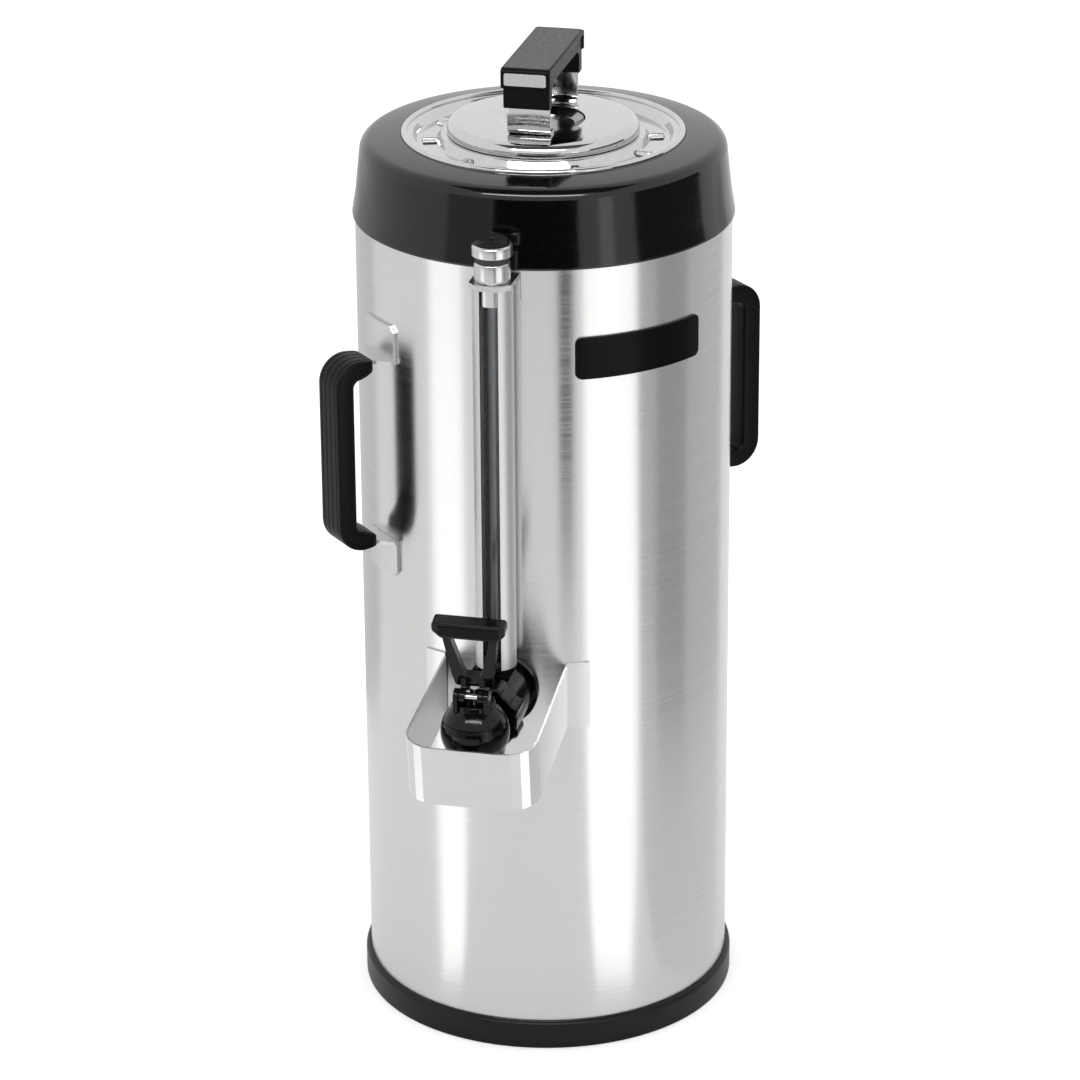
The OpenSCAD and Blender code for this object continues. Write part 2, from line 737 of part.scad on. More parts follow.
// Shank: a flanged barrel from the body to the tap, with the socket of the gauge on top
module tap_shank() {
    color(black_gloss) difference() {
        union() {
            forward_bar(flange_r, body_r / 2, body_r + washer_t + flange_t);
            forward_bar(shank_r, body_r / 2, shank_end - thread_l);
            forward_bar(thread_r, body_r / 2, shank_end);
            translate([0, -gauge_fwd, tap_z]) cylinder(r = glass_r + boss_wall, h = boss_h);
            translate([0, -gauge_fwd, boss_z - boss_flange_t]) cylinder(r = shield_r, h = boss_flange_t);
        }
        body_cutter(washer_t + fit);
        forward_bar(outlet_r + fit, body_r / 2 - eps, gauge_fwd - glass_r + fit);
        forward_bar(inlet_bore_r, body_r / 2 - eps, shank_end + eps);
        translate([0, -gauge_fwd, tap_z]) cylinder(r = glass_r - glass_wall, h = boss_h + eps);
        translate([0, -gauge_fwd, glass_foot_z]) cylinder(r = glass_r + fit, h = boss_h);
    }
}

// Ribbed nut that clamps the tap to the shank
module coupling_nut() {
    from = nut_end - nut_l;
    color(black_gloss) difference() {
        union() {
            forward_bar(nut_r, from, nut_end);
            for (i = [0:nut_lobes - 1]) {
                a = (i + 0.5) * 360 / nut_lobes;
                translate([nut_r * cos(a), 0, nut_r * sin(a)]) forward_bar(2.4, from + 2, nut_end - 2);
            }
        }
        forward_bar(thread_r + fit, from - eps, nut_end - nut_web);
        forward_bar(inlet_r + fit, from, nut_end + eps);
    }
}

// Tap body: a bulb over a spout, with a flanged inlet at the back
module tap_body() {
    spout_r = spout_bore_r + 2.5;
    high = tap_z + bulb_half;
    bulb = concat(
        [[spout_bore_r, tap_z - spout_drop], [spout_r, tap_z - spout_drop], [spout_r + 1, seat_z - 10],
            [bulb_r - 6.5, seat_z - 4], [bulb_r - 3.7, seat_z + 2]],
        arc([0, dome_z], bulb_r, -27, 21, 8),
        [[neck_thread_r, high], [neck_thread_r, web_z - fit], [chamber_r, web_z - fit],
            [chamber_r, seat_z], [spout_bore_r, seat_z]]);
    inlet_from = shank_end + fit;
    color(black_gloss) difference() {
        union() {
            translate([0, -tap_fwd, 0]) rotate_extrude() polygon(bulb);
            difference() {
                union() {
                    forward_bar(inlet_r, inlet_from, tap_fwd);
                    forward_bar(inlet_flange_r, inlet_from, inlet_from + inlet_flange_t);
                }
                translate([0, -tap_fwd, seat_z]) cylinder(r = chamber_r, h = web_z - seat_z);
            }
        }
        forward_bar(inlet_bore_r, inlet_from - eps, tap_fwd);
    }
}

// Bonnet: a cap on the bulb that guides the stem and carries the ears of the lever
module tap_bonnet() {
    bore_r = neck_thread_r + thread_gap;
    cap = concat([[bore_r, bonnet_z]], arc([0, dome_z], bulb_r, 22, 52),
        [[deck_r, deck_z - 1], [deck_r - 1, deck_z], [stem_r + run, deck_z],
            [stem_r + run, web_z], [bore_r, web_z]]);
    color(black_gloss) difference() {
        union() {
            translate([0, -tap_fwd, 0]) rotate_extrude() polygon(cap);
            for (m = [0, 1]) mirror([m, 0, 0]) translate([ear_in, -tap_fwd - pin_offset, pin_z]) ear();
        }
        pin_bar(pin_r + fit, ear_in + ear_t + eps);
    }
}

// One ear of the bonnet, round about the lever's pin
module ear() {
    rotate([0, 90, 0]) cylinder(r = ear_r, h = ear_t);
    translate([0, -ear_r, ear_foot_z - pin_z]) cube([ear_t, 2 * ear_r, pin_z - ear_foot_z]);
}

// A bar along the lever's pin, from side to side
module pin_bar(r, half) {
    translate([-half, -tap_fwd - pin_offset, pin_z]) rotate([0, 90, 0]) cylinder(r = r, h = 2 * half);
}

// Pin of the lever, held in the ears
module lever_pin() {
    color(steel) pin_bar(pin_r, ear_in + ear_t);
}

// Outline of one cheek of the lever, seen from the side and about the pin
module cheek() {
    rear = slot_reach;
    for (y = [0, rear]) translate([y, 0]) circle(r = cheek_r);
    translate([0, -cheek_r]) square([rear, 2 * cheek_r]);
    translate([pin_offset - 4, 0]) square([8, 9]);
}

// Handle of the lever, seen from the front and about its yoke: a triangle with an open loop
module lever_front() {
    top = lever_w / 2;
    under = lever_h - lever_bar;
    outline = [[-yoke_half + 2, -yoke_drop], [yoke_half - 2, -yoke_drop], [yoke_half, loop_z],
        [leg_half, under - 1], [top, under + 5], [top, lever_h], [-top, lever_h], [-top, under + 5],
        [-leg_half, under - 1], [-yoke_half, loop_z]];
    loop = [[-loop_half, loop_z], [loop_half, loop_z], [loop_top_half, under], [-loop_top_half, under]];
    difference() {
        polygon(round_outline(outline, 2));
        polygon(round_outline(loop, 1.5));
    }
}

// Tap lever: the handle leaning to the front, on two cheeks about the pin
module tap_lever() {
    t = lever_t / 2;
    leg = t - yoke_trim;
    low = -yoke_drop - eps;
    under = lever_h - lever_bar;
    wedge = [[-leg, low], [leg, low], [leg, under - 6], [t, under], [t, lever_h - 1.5], [t - 1.5, lever_h],
        [-t + 1.5, lever_h], [-t, lever_h - 1.5], [-t, under], [-leg, under - 6]];
    color(black_gloss) difference() {
        translate([0, -tap_fwd - pin_offset, pin_z]) union() {
            translate([0, pin_offset, yoke_h]) rotate([lever_lean, 0, 0]) intersection() {
                rotate([90, 0, 0]) translate([0, 0, -lever_t]) linear_extrude(2 * lever_t) lever_front();
                rotate([90, 0, 90]) translate([0, 0, -lever_w])
                    linear_extrude(2 * lever_w) polygon(wedge);
            }
            for (m = [0, 1]) mirror([m, 0, 0]) translate([cheek_in, 0, 0]) rotate([90, 0, 90])
                linear_extrude(cheek_t) cheek();
        }
        pin_bar(pin_r + run, cheek_in + cheek_t + eps);
        cross_slot();
    }
}

// Slot in the cheeks in which the stem's cross pin slides
module cross_slot() {
    r = cross_r + cross_play;
    half = cheek_in + cheek_t + eps;
    y = -tap_fwd - pin_offset;
    for (reach = [pin_offset, slot_reach])
        translate([-half, y + reach, pin_z]) rotate([0, 90, 0]) cylinder(r = r, h = 2 * half);
    translate([-half, y + pin_offset, pin_z - r]) cube([2 * half, slot_reach - pin_offset, 2 * r]);
}

// Valve stem with its cross pin
module tap_stem() {
    foot_z = cup_z + 4;
    half = cheek_in + cheek_t - 0.5;
    color(steel) {
        translate([0, -tap_fwd, foot_z]) cylinder(r = stem_r, h = stem_top_z - foot_z);
        translate([-half, -tap_fwd, pin_z]) rotate([0, 90, 0]) cylinder(r = cross_r, h = 2 * half);
    }
}

// Soft valve cup on the foot of the stem
module valve_cup() {
    color(rubber_grey) translate([0, -tap_fwd, cup_z]) rotate_extrude() polygon([
        [0, 0], [cup_r - 1.5, 0], [cup_r, 1.5], [cup_r - 1, 5], [cup_r - 2, cup_h], [stem_r + fit, cup_h],
        [stem_r + fit, 4 - fit], [0, 4 - fit]]);
}

// Points of the spring's wire, from its lower to its upper end
spring_steps = 12;
spring_rise = spring_top_z - spring_z - spring_wire;
function spring_point(i) = let (n = spring_turns * spring_steps, a = i * 360 / spring_steps)
    [spring_r * cos(a), spring_r * sin(a), spring_z + spring_wire / 2 + spring_rise * i / n];

// Closing spring round the stem
module tap_spring() {
    n = spring_turns * spring_steps;
    sides = 6;
    rings = [for (i = [0:n]) let (p = spring_point(i), out = unit([p[0], p[1], 0]))
        for (k = [0:sides - 1]) let (a = k * 360 / sides)
            p + spring_wire / 2 * (cos(a) * out + [0, 0, sin(a)])];
    skin = [for (i = [0:n - 1], k = [0:sides - 1]) let (
        a = i * sides + k, b = i * sides + (k + 1) % sides)
        each [[a, b + sides, b], [a, a + sides, b + sides]]];
    ends = [for (k = [1:sides - 2]) each [[0, k, k + 1], [n * sides, n * sides + k + 1, n * sides + k]]];
    color(steel) translate([0, -tap_fwd, 0]) polyhedron(rings, concat(skin, ends));
}

// Guard: a bent strip round the tap, sloping down to the front, with tabs on the body
module tap_guard() {
    rear = guard_half - 2;
    root_y = sqrt(body_r * body_r - rear * rear);
    front = body_r + guard_reach;
    path = round_path([[-rear, -root_y + 12], [-rear, -root_y - 4], [-guard_half, -front],
        [guard_half, -front], [rear, -root_y - 4], [rear, -root_y + 12]], guard_corner);
    tab_in = rear - guard_t / 2;
    tab_low = guard_top - guard_h - guard_margin;
    tab_high = guard_top + guard_margin;
    tab_out = rear + guard_tab;
    tab = [[tab_in, tab_low], [tab_out, tab_low], [tab_out, tab_high], [tab_in, tab_high]];
    color(steel) {
        difference() {
            translate([0, -root_y, guard_top]) rotate([guard_slope, 0, 0])
                translate([0, root_y, -guard_h]) linear_extrude(guard_h) polygon(sheet(path, guard_t));
            body_cutter(fit + guard_t / 2);
        }
        for (m = [0, 1]) mirror([m, 0, 0]) body_plate(guard_t) polygon(tab);
    }
}

base_foot();
outer_shell();
support_ring();
vacuum_jacket();
inner_vessel();
vessel_shoulder();
vessel_neck();
outlet_tube();
top_collar();
neck_seal();
mouth_ring();
handle_strap_left();
handle_strap_right();
handle_grip_left();
handle_grip_right();
badge_plate();
gauge_bracket();
gauge_head();
gauge_seals();
gauge_shield();
gauge_glass();
gauge_cap();
gauge_vent();
tap_shank();
shank_washer();
coupling_nut();
tap_body();
tap_bonnet();
lever_pin();
tap_lever();
tap_stem();
valve_cup();
tap_spring();
tap_guard();
lid_disc();
lid_plug();
lid_gasket();
lid_strap();
lid_grip();
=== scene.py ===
"""Looks of an insulated gravity dispenser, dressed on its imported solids."""

import math

import bpy
from mathutils import Matrix, Vector


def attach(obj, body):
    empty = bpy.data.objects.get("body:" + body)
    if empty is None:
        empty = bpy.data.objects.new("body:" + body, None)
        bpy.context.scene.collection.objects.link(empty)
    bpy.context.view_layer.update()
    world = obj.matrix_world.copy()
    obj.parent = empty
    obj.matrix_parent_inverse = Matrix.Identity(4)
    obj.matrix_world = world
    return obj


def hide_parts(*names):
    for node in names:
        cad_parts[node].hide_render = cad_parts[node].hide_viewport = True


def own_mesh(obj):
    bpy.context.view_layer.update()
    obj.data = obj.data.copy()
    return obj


bl_info = {
    "name": "Insulated dispenser looks",
    "version": (1, 0, 0),
    "blender": (4, 5, 0),
    "location": "View3D > Sidebar > Dispenser",
    "description": "Finishes and fine pieces of a coffee dispenser with tap and sight gauge",
    "category": "Object",
}

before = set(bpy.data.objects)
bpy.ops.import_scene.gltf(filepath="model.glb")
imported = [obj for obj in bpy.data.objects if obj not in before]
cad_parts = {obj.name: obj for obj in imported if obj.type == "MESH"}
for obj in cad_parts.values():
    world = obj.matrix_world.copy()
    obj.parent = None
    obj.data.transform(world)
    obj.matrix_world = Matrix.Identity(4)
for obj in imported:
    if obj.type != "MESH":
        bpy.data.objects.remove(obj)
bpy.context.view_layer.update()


class DispenserFinishes(bpy.types.PropertyGroup):
    """Colours and textures of the dispenser's materials."""

    steel: bpy.props.FloatVectorProperty(
        name="Body steel", description="Colour of the brushed body", subtype="COLOR",
        size=3, min=0.0, max=1.0, default=(0.66, 0.66, 0.655))
    bright: bpy.props.FloatVectorProperty(
        name="Bright steel", description="Colour of the polished lid, mouth ring and gauge fittings",
        subtype="COLOR", size=3, min=0.0, max=1.0, default=(0.60, 0.60, 0.60))
    gloss: bpy.props.FloatVectorProperty(
        name="Gloss black", description="Colour of the collar and the tap", subtype="COLOR",
        size=3, min=0.0, max=1.0, default=(0.002, 0.002, 0.002))
    satin: bpy.props.FloatVectorProperty(
        name="Satin black", description="Colour of the foot and the grips", subtype="COLOR",
        size=3, min=0.0, max=1.0, default=(0.004, 0.004, 0.004))
    # The seal colour is also the colour of the lid grip's top pad, where it is painted light: lighter than the
    # grip's own black because light falls on the top.
    rubber: bpy.props.FloatVectorProperty(
        name="Seal rubber", description="Colour of the seals and the valve cup", subtype="COLOR",
        size=3, min=0.0, max=1.0, default=(0.03, 0.03, 0.03))
    glass: bpy.props.FloatVectorProperty(
        name="Gauge glass", description="Tint of the gauge glass", subtype="COLOR",
        size=3, min=0.0, max=1.0, default=(0.80, 0.81, 0.82))
    brushing: bpy.props.FloatProperty(
        name="Brushing", description="How much the brushed lines spread the reflections",
        subtype="FACTOR", min=0.0, max=1.0, default=0.80)
    sheen: bpy.props.FloatProperty(
        name="Plastic sheen", description="How much the black plastic mirrors its surroundings",
        subtype="FACTOR", min=0.0, max=1.0, default=0.50)


class DispenserSizes(bpy.types.PropertyGroup):
    """Sizes of the fine shapes that the solids leave open."""

    collar_edge: bpy.props.FloatProperty(
        name="Collar edge", description="Rounding of the collar's upper edge", unit="LENGTH",
        min=0.001, max=0.010, default=0.0082)
    foot_edge: bpy.props.FloatProperty(
        name="Foot edge", description="Rounding of the foot's upper edge", unit="LENGTH",
        min=0.0005, max=0.003, default=0.003)
    lid_edge: bpy.props.FloatProperty(
        name="Lid edge", description="Rounding of the lid's rim", unit="LENGTH",
        min=0.002, max=0.007, default=0.006)
    lug: bpy.props.FloatVectorProperty(
        name="Lug", description="Width, length and height of a lug in the mouth's channel",
        subtype="XYZ_LENGTH", size=3, min=0.001, max=0.015, default=(0.0076, 0.0115, 0.0034))
    lug_radius: bpy.props.FloatProperty(
        name="Lug radius", description="Distance of the lugs from the axis", unit="LENGTH",
        min=0.070, max=0.076, default=0.0725)
    groove: bpy.props.FloatProperty(
        name="Grip groove", description="Depth of the grooves along the side grips", unit="LENGTH",
        min=0.0001, max=0.0006, default=0.0003)
    lever_edge: bpy.props.FloatProperty(
        name="Lever edge", description="Rounding of the lever's bar", unit="LENGTH",
        min=0.0005, max=0.0015, default=0.0014)
    nut_rib: bpy.props.FloatProperty(
        name="Nut rib", description="Height of the ribs round the coupling nut", unit="LENGTH",
        min=0.0, max=0.003, default=0.0023)
    spring_wire: bpy.props.FloatProperty(
        name="Spring wire", description="Radius of the closing spring's wire", unit="LENGTH",
        min=0.0003, max=0.001, default=0.0006)
    spring_turns: bpy.props.IntProperty(
        name="Spring turns", description="Turns of the closing spring", min=3, max=8, default=5)


class DispenserStage(bpy.types.PropertyGroup):
    """Camera, floor and lamps."""

    distance: bpy.props.FloatProperty(
        name="Distance", description="Level distance of the camera from the body's axis",
        unit="LENGTH", default=2.6964)
    height: bpy.props.FloatProperty(
        name="Height", description="Height of the camera above the floor", unit="LENGTH", default=1.4315)
    azimuth: bpy.props.FloatProperty(
        name="Azimuth", description="Angle of the camera from the front", subtype="ANGLE",
        default=math.radians(13.2))
    pitch: bpy.props.FloatProperty(
        name="Pitch", description="How far the camera looks down", subtype="ANGLE", default=0.3924)
    yaw: bpy.props.FloatProperty(
        name="Yaw", description="How far the camera looks past the axis, to the left", subtype="ANGLE",
        default=math.radians(0.082))
    roll: bpy.props.FloatProperty(
        name="Roll", description="Turn of the camera about its view", subtype="ANGLE", default=-0.0066)
    lens: bpy.props.FloatProperty(
        name="Lens", description="Focal length on a 36 mm sensor", default=145.98)
    floor: bpy.props.FloatVectorProperty(
        name="Floor", description="Colour of the floor", subtype="COLOR", size=3, min=0.0, max=1.0,
        default=(0.90, 0.90, 0.90))
    ambient: bpy.props.FloatProperty(
        name="Ambient light", description="Strength of the light from all round", default=0.75)
    softbox: bpy.props.FloatProperty(
        name="Softbox", description="Power of the soft lamp overhead", unit="POWER", default=12.0)
    pool: bpy.props.FloatProperty(
        name="Light pools", description="Brightness of the two lit strips of floor that the body mirrors",
        default=1.65)


MM = 0.001
UP = Vector((0.0, 0.0, 1.0))
MERGE = 0.000005

# Axes and turns shared by several pieces, in millimetres and degrees
TAP_Y = -198.0
TAP_Z = 262.0
GAUGE_AT = (0.0, -140.0)
LUG_MIDDLE_Z, LUG_TOP_Z = 595.5, 597.2
LUG_DRAFT = (0.62, 0.84, 1.0)
LUG_TURNS = (-30, 30, -75, 75, -106, 106, 150, -150)
LEVER_LEAN = 15.0
NUT_RADIUS, NUT_POINTS, NUT_RIBS = 21.4, 128, 8
LID_SHEET = 1.2
GRIP_FACE, GRIP_GROOVES, GROOVE_HALF = 2.7, (8.8, 3.0, -3.0, -8.8), 0.8

# Where most values of a noise pattern lie
NOISE_LOW, NOISE_HIGH = 0.3, 0.7

# Stage in metres: floor and lamp, the body's radius, the middle that hung cards face, glow of the floor
FLOOR_SIZE = 14.0
SOFTBOX_PLACE, SOFTBOX_SIZE = (0.0, -0.4, 2.4), 2.2
CARD_LIFT = 0.002
BODY_RADIUS = 0.122
CARD_AIM = Vector((0.0, 0.0, 0.35))
MIRRORED_GLOW, CAMERA_GLOW = 0.15, 0.30

# Lit strips of floor: name, azimuth and half spread in degrees, near and far end
POOLS = (
    ("left_pool", -50.0, 12.0, 0.08, 2.3),
    ("right_pool", 55.2, 19.2, 0.08, 2.6),
)
# Strips of painted shade on the floor, which only reflections show: the same with their brightness
FLOOR_CARDS = (
    ("narrow_card", 26.0, 4.6, 0.62, 2.6, 0.02),
    ("right_shade", 112.0, 42.0, 0.45, 2.4, 0.60),
    ("right_near", 112.0, 42.0, 0.05, 0.45, 0.76),
    ("right_dark", 98.0, 13.0, 0.45, 2.4, 0.40),
    ("back_shade", -140.0, 26.0, 0.45, 2.4, 0.66),
)
# Cards in the air: name, azimuth and elevation in degrees, distance, width, height and brightness
HUNG_CARDS = (
    ("right_card", 95.0, 4.0, 3.0, 3.0, 1.2, 0.10),
    ("front_card", 8.0, 1.7, 3.4, 3.2, 0.9, 0.01),
    ("left_shade", -32.0, 1.7, 3.5, 1.7, 0.9, 0.45),
    ("low_light", 50.0, 1.0, 3.3, 0.5, 0.9, 1.9),
    ("overhead_card", 13.0, 78.0, 3.6, 4.5, 2.6, 0.10),
    ("top_light", 6.0, 48.0, 2.8, 2.6, 0.35, 14.0),
)


def rounded(corners, closed=False, steps=5):
    """2-D points of a line whose corners, given as (x, y, radius), are rounded."""
    points = []
    count = len(corners)
    for i, (x, y, radius) in enumerate(corners):
        here = Vector((x, y))
        if radius == 0 or (not closed and i in (0, count - 1)):
            points.append(here)
            continue
        before = (Vector(corners[i - 1][:2]) - here).normalized()
        after = (Vector(corners[(i + 1) % count][:2]) - here).normalized()
        half = before.angle(after) / 2
        centre = here + (before + after).normalized() * radius / math.sin(half)
        first = here + before * radius / math.tan(half) - centre
        turn = first.angle_signed(here + after * radius / math.tan(half) - centre)
        for k in range(steps + 1):
            points.append(centre + Matrix.Rotation(-turn * k / steps, 2) @ first)
    return points


def start_piece(name, point):
    """A new mesh in edit mode that is a single vertex."""
    bpy.ops.object.select_all(action="DESELECT")
    bpy.ops.mesh.primitive_plane_add(size=0.01)
    piece = bpy.context.object
    piece.name = name
    piece.data.name = name
    bpy.ops.object.mode_set(mode="EDIT")
    bpy.ops.mesh.select_all(action="SELECT")
    bpy.ops.mesh.merge(type="CENTER")
    bpy.ops.transform.translate(value=point)
    return piece


def draw_line(points, closed=False):
    """Extrudes the selected vertex along points, and back to the first one if closed."""
    line = points + points[:1] if closed else points
    for here, there in zip(line, line[1:]):
        bpy.ops.mesh.extrude_vertices_move(TRANSFORM_OT_translate={"value": there - here})
    bpy.ops.mesh.select_all(action="SELECT")
    bpy.ops.mesh.remove_doubles(threshold=MERGE)


def extrude(way):
    """Extrudes what is selected by a vector."""
    bpy.ops.mesh.extrude_region_move(TRANSFORM_OT_translate={"value": way})


def pick(piece, wanted):
    """Edit mode with only the vertices selected that a test of their place picks."""
    bpy.ops.object.mode_set(mode="EDIT")
    bpy.ops.mesh.select_all(action="DESELECT")
    bpy.ops.object.mode_set(mode="OBJECT")
    for corner in piece.data.vertices:
        corner.select = wanted(corner.co)
    bpy.ops.object.mode_set(mode="EDIT")


def close_piece(smooth=35.0):
    """Merges doubles, turns the faces outward and leaves edit mode with smooth shading."""
    bpy.ops.mesh.select_all(action="SELECT")
    bpy.ops.mesh.remove_doubles(threshold=MERGE)
    bpy.ops.mesh.normals_make_consistent(inside=False)
    bpy.ops.object.mode_set(mode="OBJECT")
    bpy.ops.object.shade_smooth_by_angle(angle=math.radians(smooth))


def bevel_edges(width, segments=3, angle=30.0):
    """Rounds the sharp edges of the piece in hand."""
    bpy.ops.object.modifier_add(type="BEVEL")
    rounding = bpy.context.object.modifiers[-1]
    rounding.width = width
    rounding.segments = segments
    rounding.limit_method = "ANGLE"
    rounding.angle_limit = math.radians(angle)
    rounding.harden_normals = False
    bpy.ops.object.modifier_apply(modifier=rounding.name)
    bpy.ops.object.mode_set(mode="EDIT")
    bpy.ops.mesh.select_all(action="SELECT")
    bpy.ops.mesh.remove_doubles(threshold=MERGE)
    bpy.ops.object.mode_set(mode="OBJECT")
    bpy.ops.object.shade_smooth_by_angle(angle=math.radians(40.0))


def thicken(depth, offset=1.0):
    """Gives a sheet its thickness."""
    bpy.ops.object.modifier_add(type="SOLIDIFY")
    wall = bpy.context.object.modifiers[-1]
    wall.thickness = depth
    wall.offset = offset
    wall.use_even_offset = True
    bpy.ops.object.modifier_apply(modifier=wall.name)


def spun(name, profile, at=(0.0, 0.0), steps=96, smooth=35.0):
    """A turned piece: a closed profile of (radius, height) spun about an upright axis."""
    line = [Vector((at[0] + r, at[1], z)) * MM for r, z in profile]
    piece = start_piece(name, line[0])
    draw_line(line, closed=profile[0][0] > 0)
    bpy.ops.mesh.spin(steps=steps, angle=2 * math.pi, center=(at[0] * MM, at[1] * MM, 0.0), axis=UP)
    close_piece(smooth)
    return piece


def join(pieces):
    """Joins pieces into the first of them."""
    bpy.ops.object.select_all(action="DESELECT")
    for piece in pieces:
        piece.select_set(True)
    bpy.context.view_layer.objects.active = pieces[0]
    bpy.ops.object.join()
    return pieces[0]


def hand_over(piece, body, slot, finish, *nodes):
    """Puts a finish on a piece, lets it ride on its body and stand for its CAD nodes."""
    piece.data.materials.clear()
    piece.data.materials.append(finish)
    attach(piece, body)
    if nodes:
        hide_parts(*nodes)


def finish_named(name, maker, *values):
    """A finish of the file, made on first use."""
    return bpy.data.materials.get(name) or maker(name, *values)


def settings():
    """The colours and textures in use."""
    return bpy.context.scene.dispenser_finishes


def fine_sizes():
    """The sizes of fine shapes in use, in metres."""
    return bpy.context.scene.dispenser_sizes


def new_finish(name):
    """A node material with one Principled shader; returns the material, its tree and the shader."""
    finish = bpy.data.materials.new(name)
    finish.use_nodes = True
    return finish, finish.node_tree, finish.node_tree.nodes["Principled BSDF"]


def noise(tree, stretch, scale, detail=2.0):
    """A noise pattern on object coordinates, stretched along the axes."""
    place = tree.nodes.new("ShaderNodeTexCoord")
    mapping = tree.nodes.new("ShaderNodeMapping")
    mapping.inputs["Scale"].default_value = stretch
    pattern = tree.nodes.new("ShaderNodeTexNoise")
    pattern.inputs["Scale"].default_value = scale
    pattern.inputs["Detail"].default_value = detail
    tree.links.new(place.outputs["Object"], mapping.inputs["Vector"])
    tree.links.new(mapping.outputs["Vector"], pattern.inputs["Vector"])
    return pattern.outputs["Fac"]


def spread(tree, value, low, high):
    """A pattern's value spread over a range."""
    steps = tree.nodes.new("ShaderNodeMapRange")
    steps.inputs["From Min"].default_value = NOISE_LOW
    steps.inputs["From Max"].default_value = NOISE_HIGH
    steps.inputs["To Min"].default_value = low
    steps.inputs["To Max"].default_value = high
    tree.links.new(value, steps.inputs["Value"])
    return steps.outputs["Result"]


def shade(tree, value, colour, low, high):
    """A colour that a pattern makes darker and lighter."""
    ramp = tree.nodes.new("ShaderNodeValToRGB")
    ramp.color_ramp.elements[0].position = NOISE_LOW
    ramp.color_ramp.elements[0].color = [c * low for c in colour] + [1.0]
    ramp.color_ramp.elements[1].position = NOISE_HIGH
    ramp.color_ramp.elements[1].color = [c * high for c in colour] + [1.0]
    tree.links.new(value, ramp.inputs["Fac"])
    return ramp.outputs["Color"]


def relief(tree, shader, value, depth, strength):
    """Bumps from a pattern, depth in metres."""
    bump = tree.nodes.new("ShaderNodeBump")
    bump.inputs["Strength"].default_value = strength
    bump.inputs["Distance"].default_value = depth
    tree.links.new(value, bump.inputs["Height"])
    tree.links.new(bump.outputs["Normal"], shader.inputs["Normal"])


def brushed_steel(name, stretch, rough, depth, share=1.0):
    """Steel with fine brushed lines, close along the axis with the largest stretch, and a share of the brushing."""
    look = settings()
    finish, tree, shader = new_finish(name)
    shader.inputs["Metallic"].default_value = 1.0
    shader.inputs["Anisotropic"].default_value = look.brushing * share
    shader.inputs["Anisotropic Rotation"].default_value = 0.25
    lines = noise(tree, stretch, 1.0, 1.0)
    tree.links.new(shade(tree, lines, look.steel, 0.975, 1.025), shader.inputs["Base Color"])
    tree.links.new(spread(tree, lines, *rough), shader.inputs["Roughness"])
    grain = tree.nodes.new("ShaderNodeTangent")
    grain.direction_type = "RADIAL"
    grain.axis = "Z"
    tree.links.new(grain.outputs["Tangent"], shader.inputs["Tangent"])
    relief(tree, shader, lines, depth, 0.12)
    return finish


def bright_steel(name, rough):
    """Polished steel of a roughness range, slightly wavy, with fine wiping marks."""
    look = settings()
    finish, tree, shader = new_finish(name)
    shader.inputs["Metallic"].default_value = 1.0
    marks = noise(tree, (1.0, 1.0, 1.0), 260.0, 3.0)
    tree.links.new(shade(tree, marks, look.bright, 0.95, 1.03), shader.inputs["Base Color"])
    tree.links.new(spread(tree, marks, *rough), shader.inputs["Roughness"])
    relief(tree, shader, noise(tree, (1.0, 1.0, 1.0), 38.0, 1.0), 0.0006, 0.20)
    return finish


def black_plastic(name, colour, rough, grain, depth, sheen=1.0):
    """Moulded black plastic: roughness range, grain size and depth of its surface, share of the sheen."""
    finish, tree, shader = new_finish(name)
    shader.inputs["Specular IOR Level"].default_value = settings().sheen * sheen
    surface = noise(tree, (1.0, 1.0, 1.0), grain, 2.0)
    tree.links.new(shade(tree, surface, colour, 0.8, 1.3), shader.inputs["Base Color"])
    tree.links.new(spread(tree, surface, *rough), shader.inputs["Roughness"])
    relief(tree, shader, surface, depth, 0.3)
    return finish


def clear_glass(name):
    """Drawn glass tube with faint lengthwise streaks."""
    look = settings()
    finish, tree, shader = new_finish(name)
    shader.inputs["Transmission Weight"].default_value = 1.0
    shader.inputs["IOR"].default_value = 1.47
    streaks = noise(tree, (240.0, 240.0, 6.0), 1.0, 2.0)
    tree.links.new(shade(tree, streaks, look.glass, 0.9, 1.1), shader.inputs["Base Color"])
    tree.links.new(spread(tree, streaks, 0.01, 0.06), shader.inputs["Roughness"])
    return finish


def dress(names, finish):
    """Puts one finish on CAD nodes."""
    for name in names:
        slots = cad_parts[name].data.materials
        slots.clear()
        slots.append(finish)


def body_steel():
    """Brushed steel of the body and the vessel."""
    return finish_named("brushed_body_steel", brushed_steel, (3.0, 3.0, 900.0), (0.20, 0.26), 0.000012)


def strap_steel():
    """Steel of the side handles' straps."""
    return finish_named("brushed_strap_steel", brushed_steel, (9.0, 9.0, 1500.0), (0.32, 0.38), 0.000008, 0.3)


def pressed_steel():
    """Polished steel of lid, mouth ring and small metal pieces."""
    return finish_named("bright_pressed_steel", bright_steel, (0.06, 0.13))


def turned_steel():
    """Turned steel of the gauge and the grip's end plates."""
    return finish_named("turned_gauge_steel", bright_steel, (0.18, 0.26))


def rolled_steel():
    """Steel strip of the tap guard."""
    return finish_named("rolled_guard_steel", brushed_steel, (9.0, 9.0, 1500.0), (0.22, 0.27), 0.000005, 0.25)


def tube_steel():
    """Drawn tube of the gauge's shield."""
    return finish_named("drawn_tube_steel", bright_steel, (0.40, 0.48))


def collar_black():
    """Gloss plastic of the collar."""
    return finish_named("gloss_collar_plastic", black_plastic, settings().gloss, (0.09, 0.15), 420.0, 0.00003)


def tap_black():
    """Gloss plastic of the tap."""
    return finish_named("gloss_tap_plastic", black_plastic, settings().gloss, (0.09, 0.17), 600.0, 0.00006,
                        0.55)


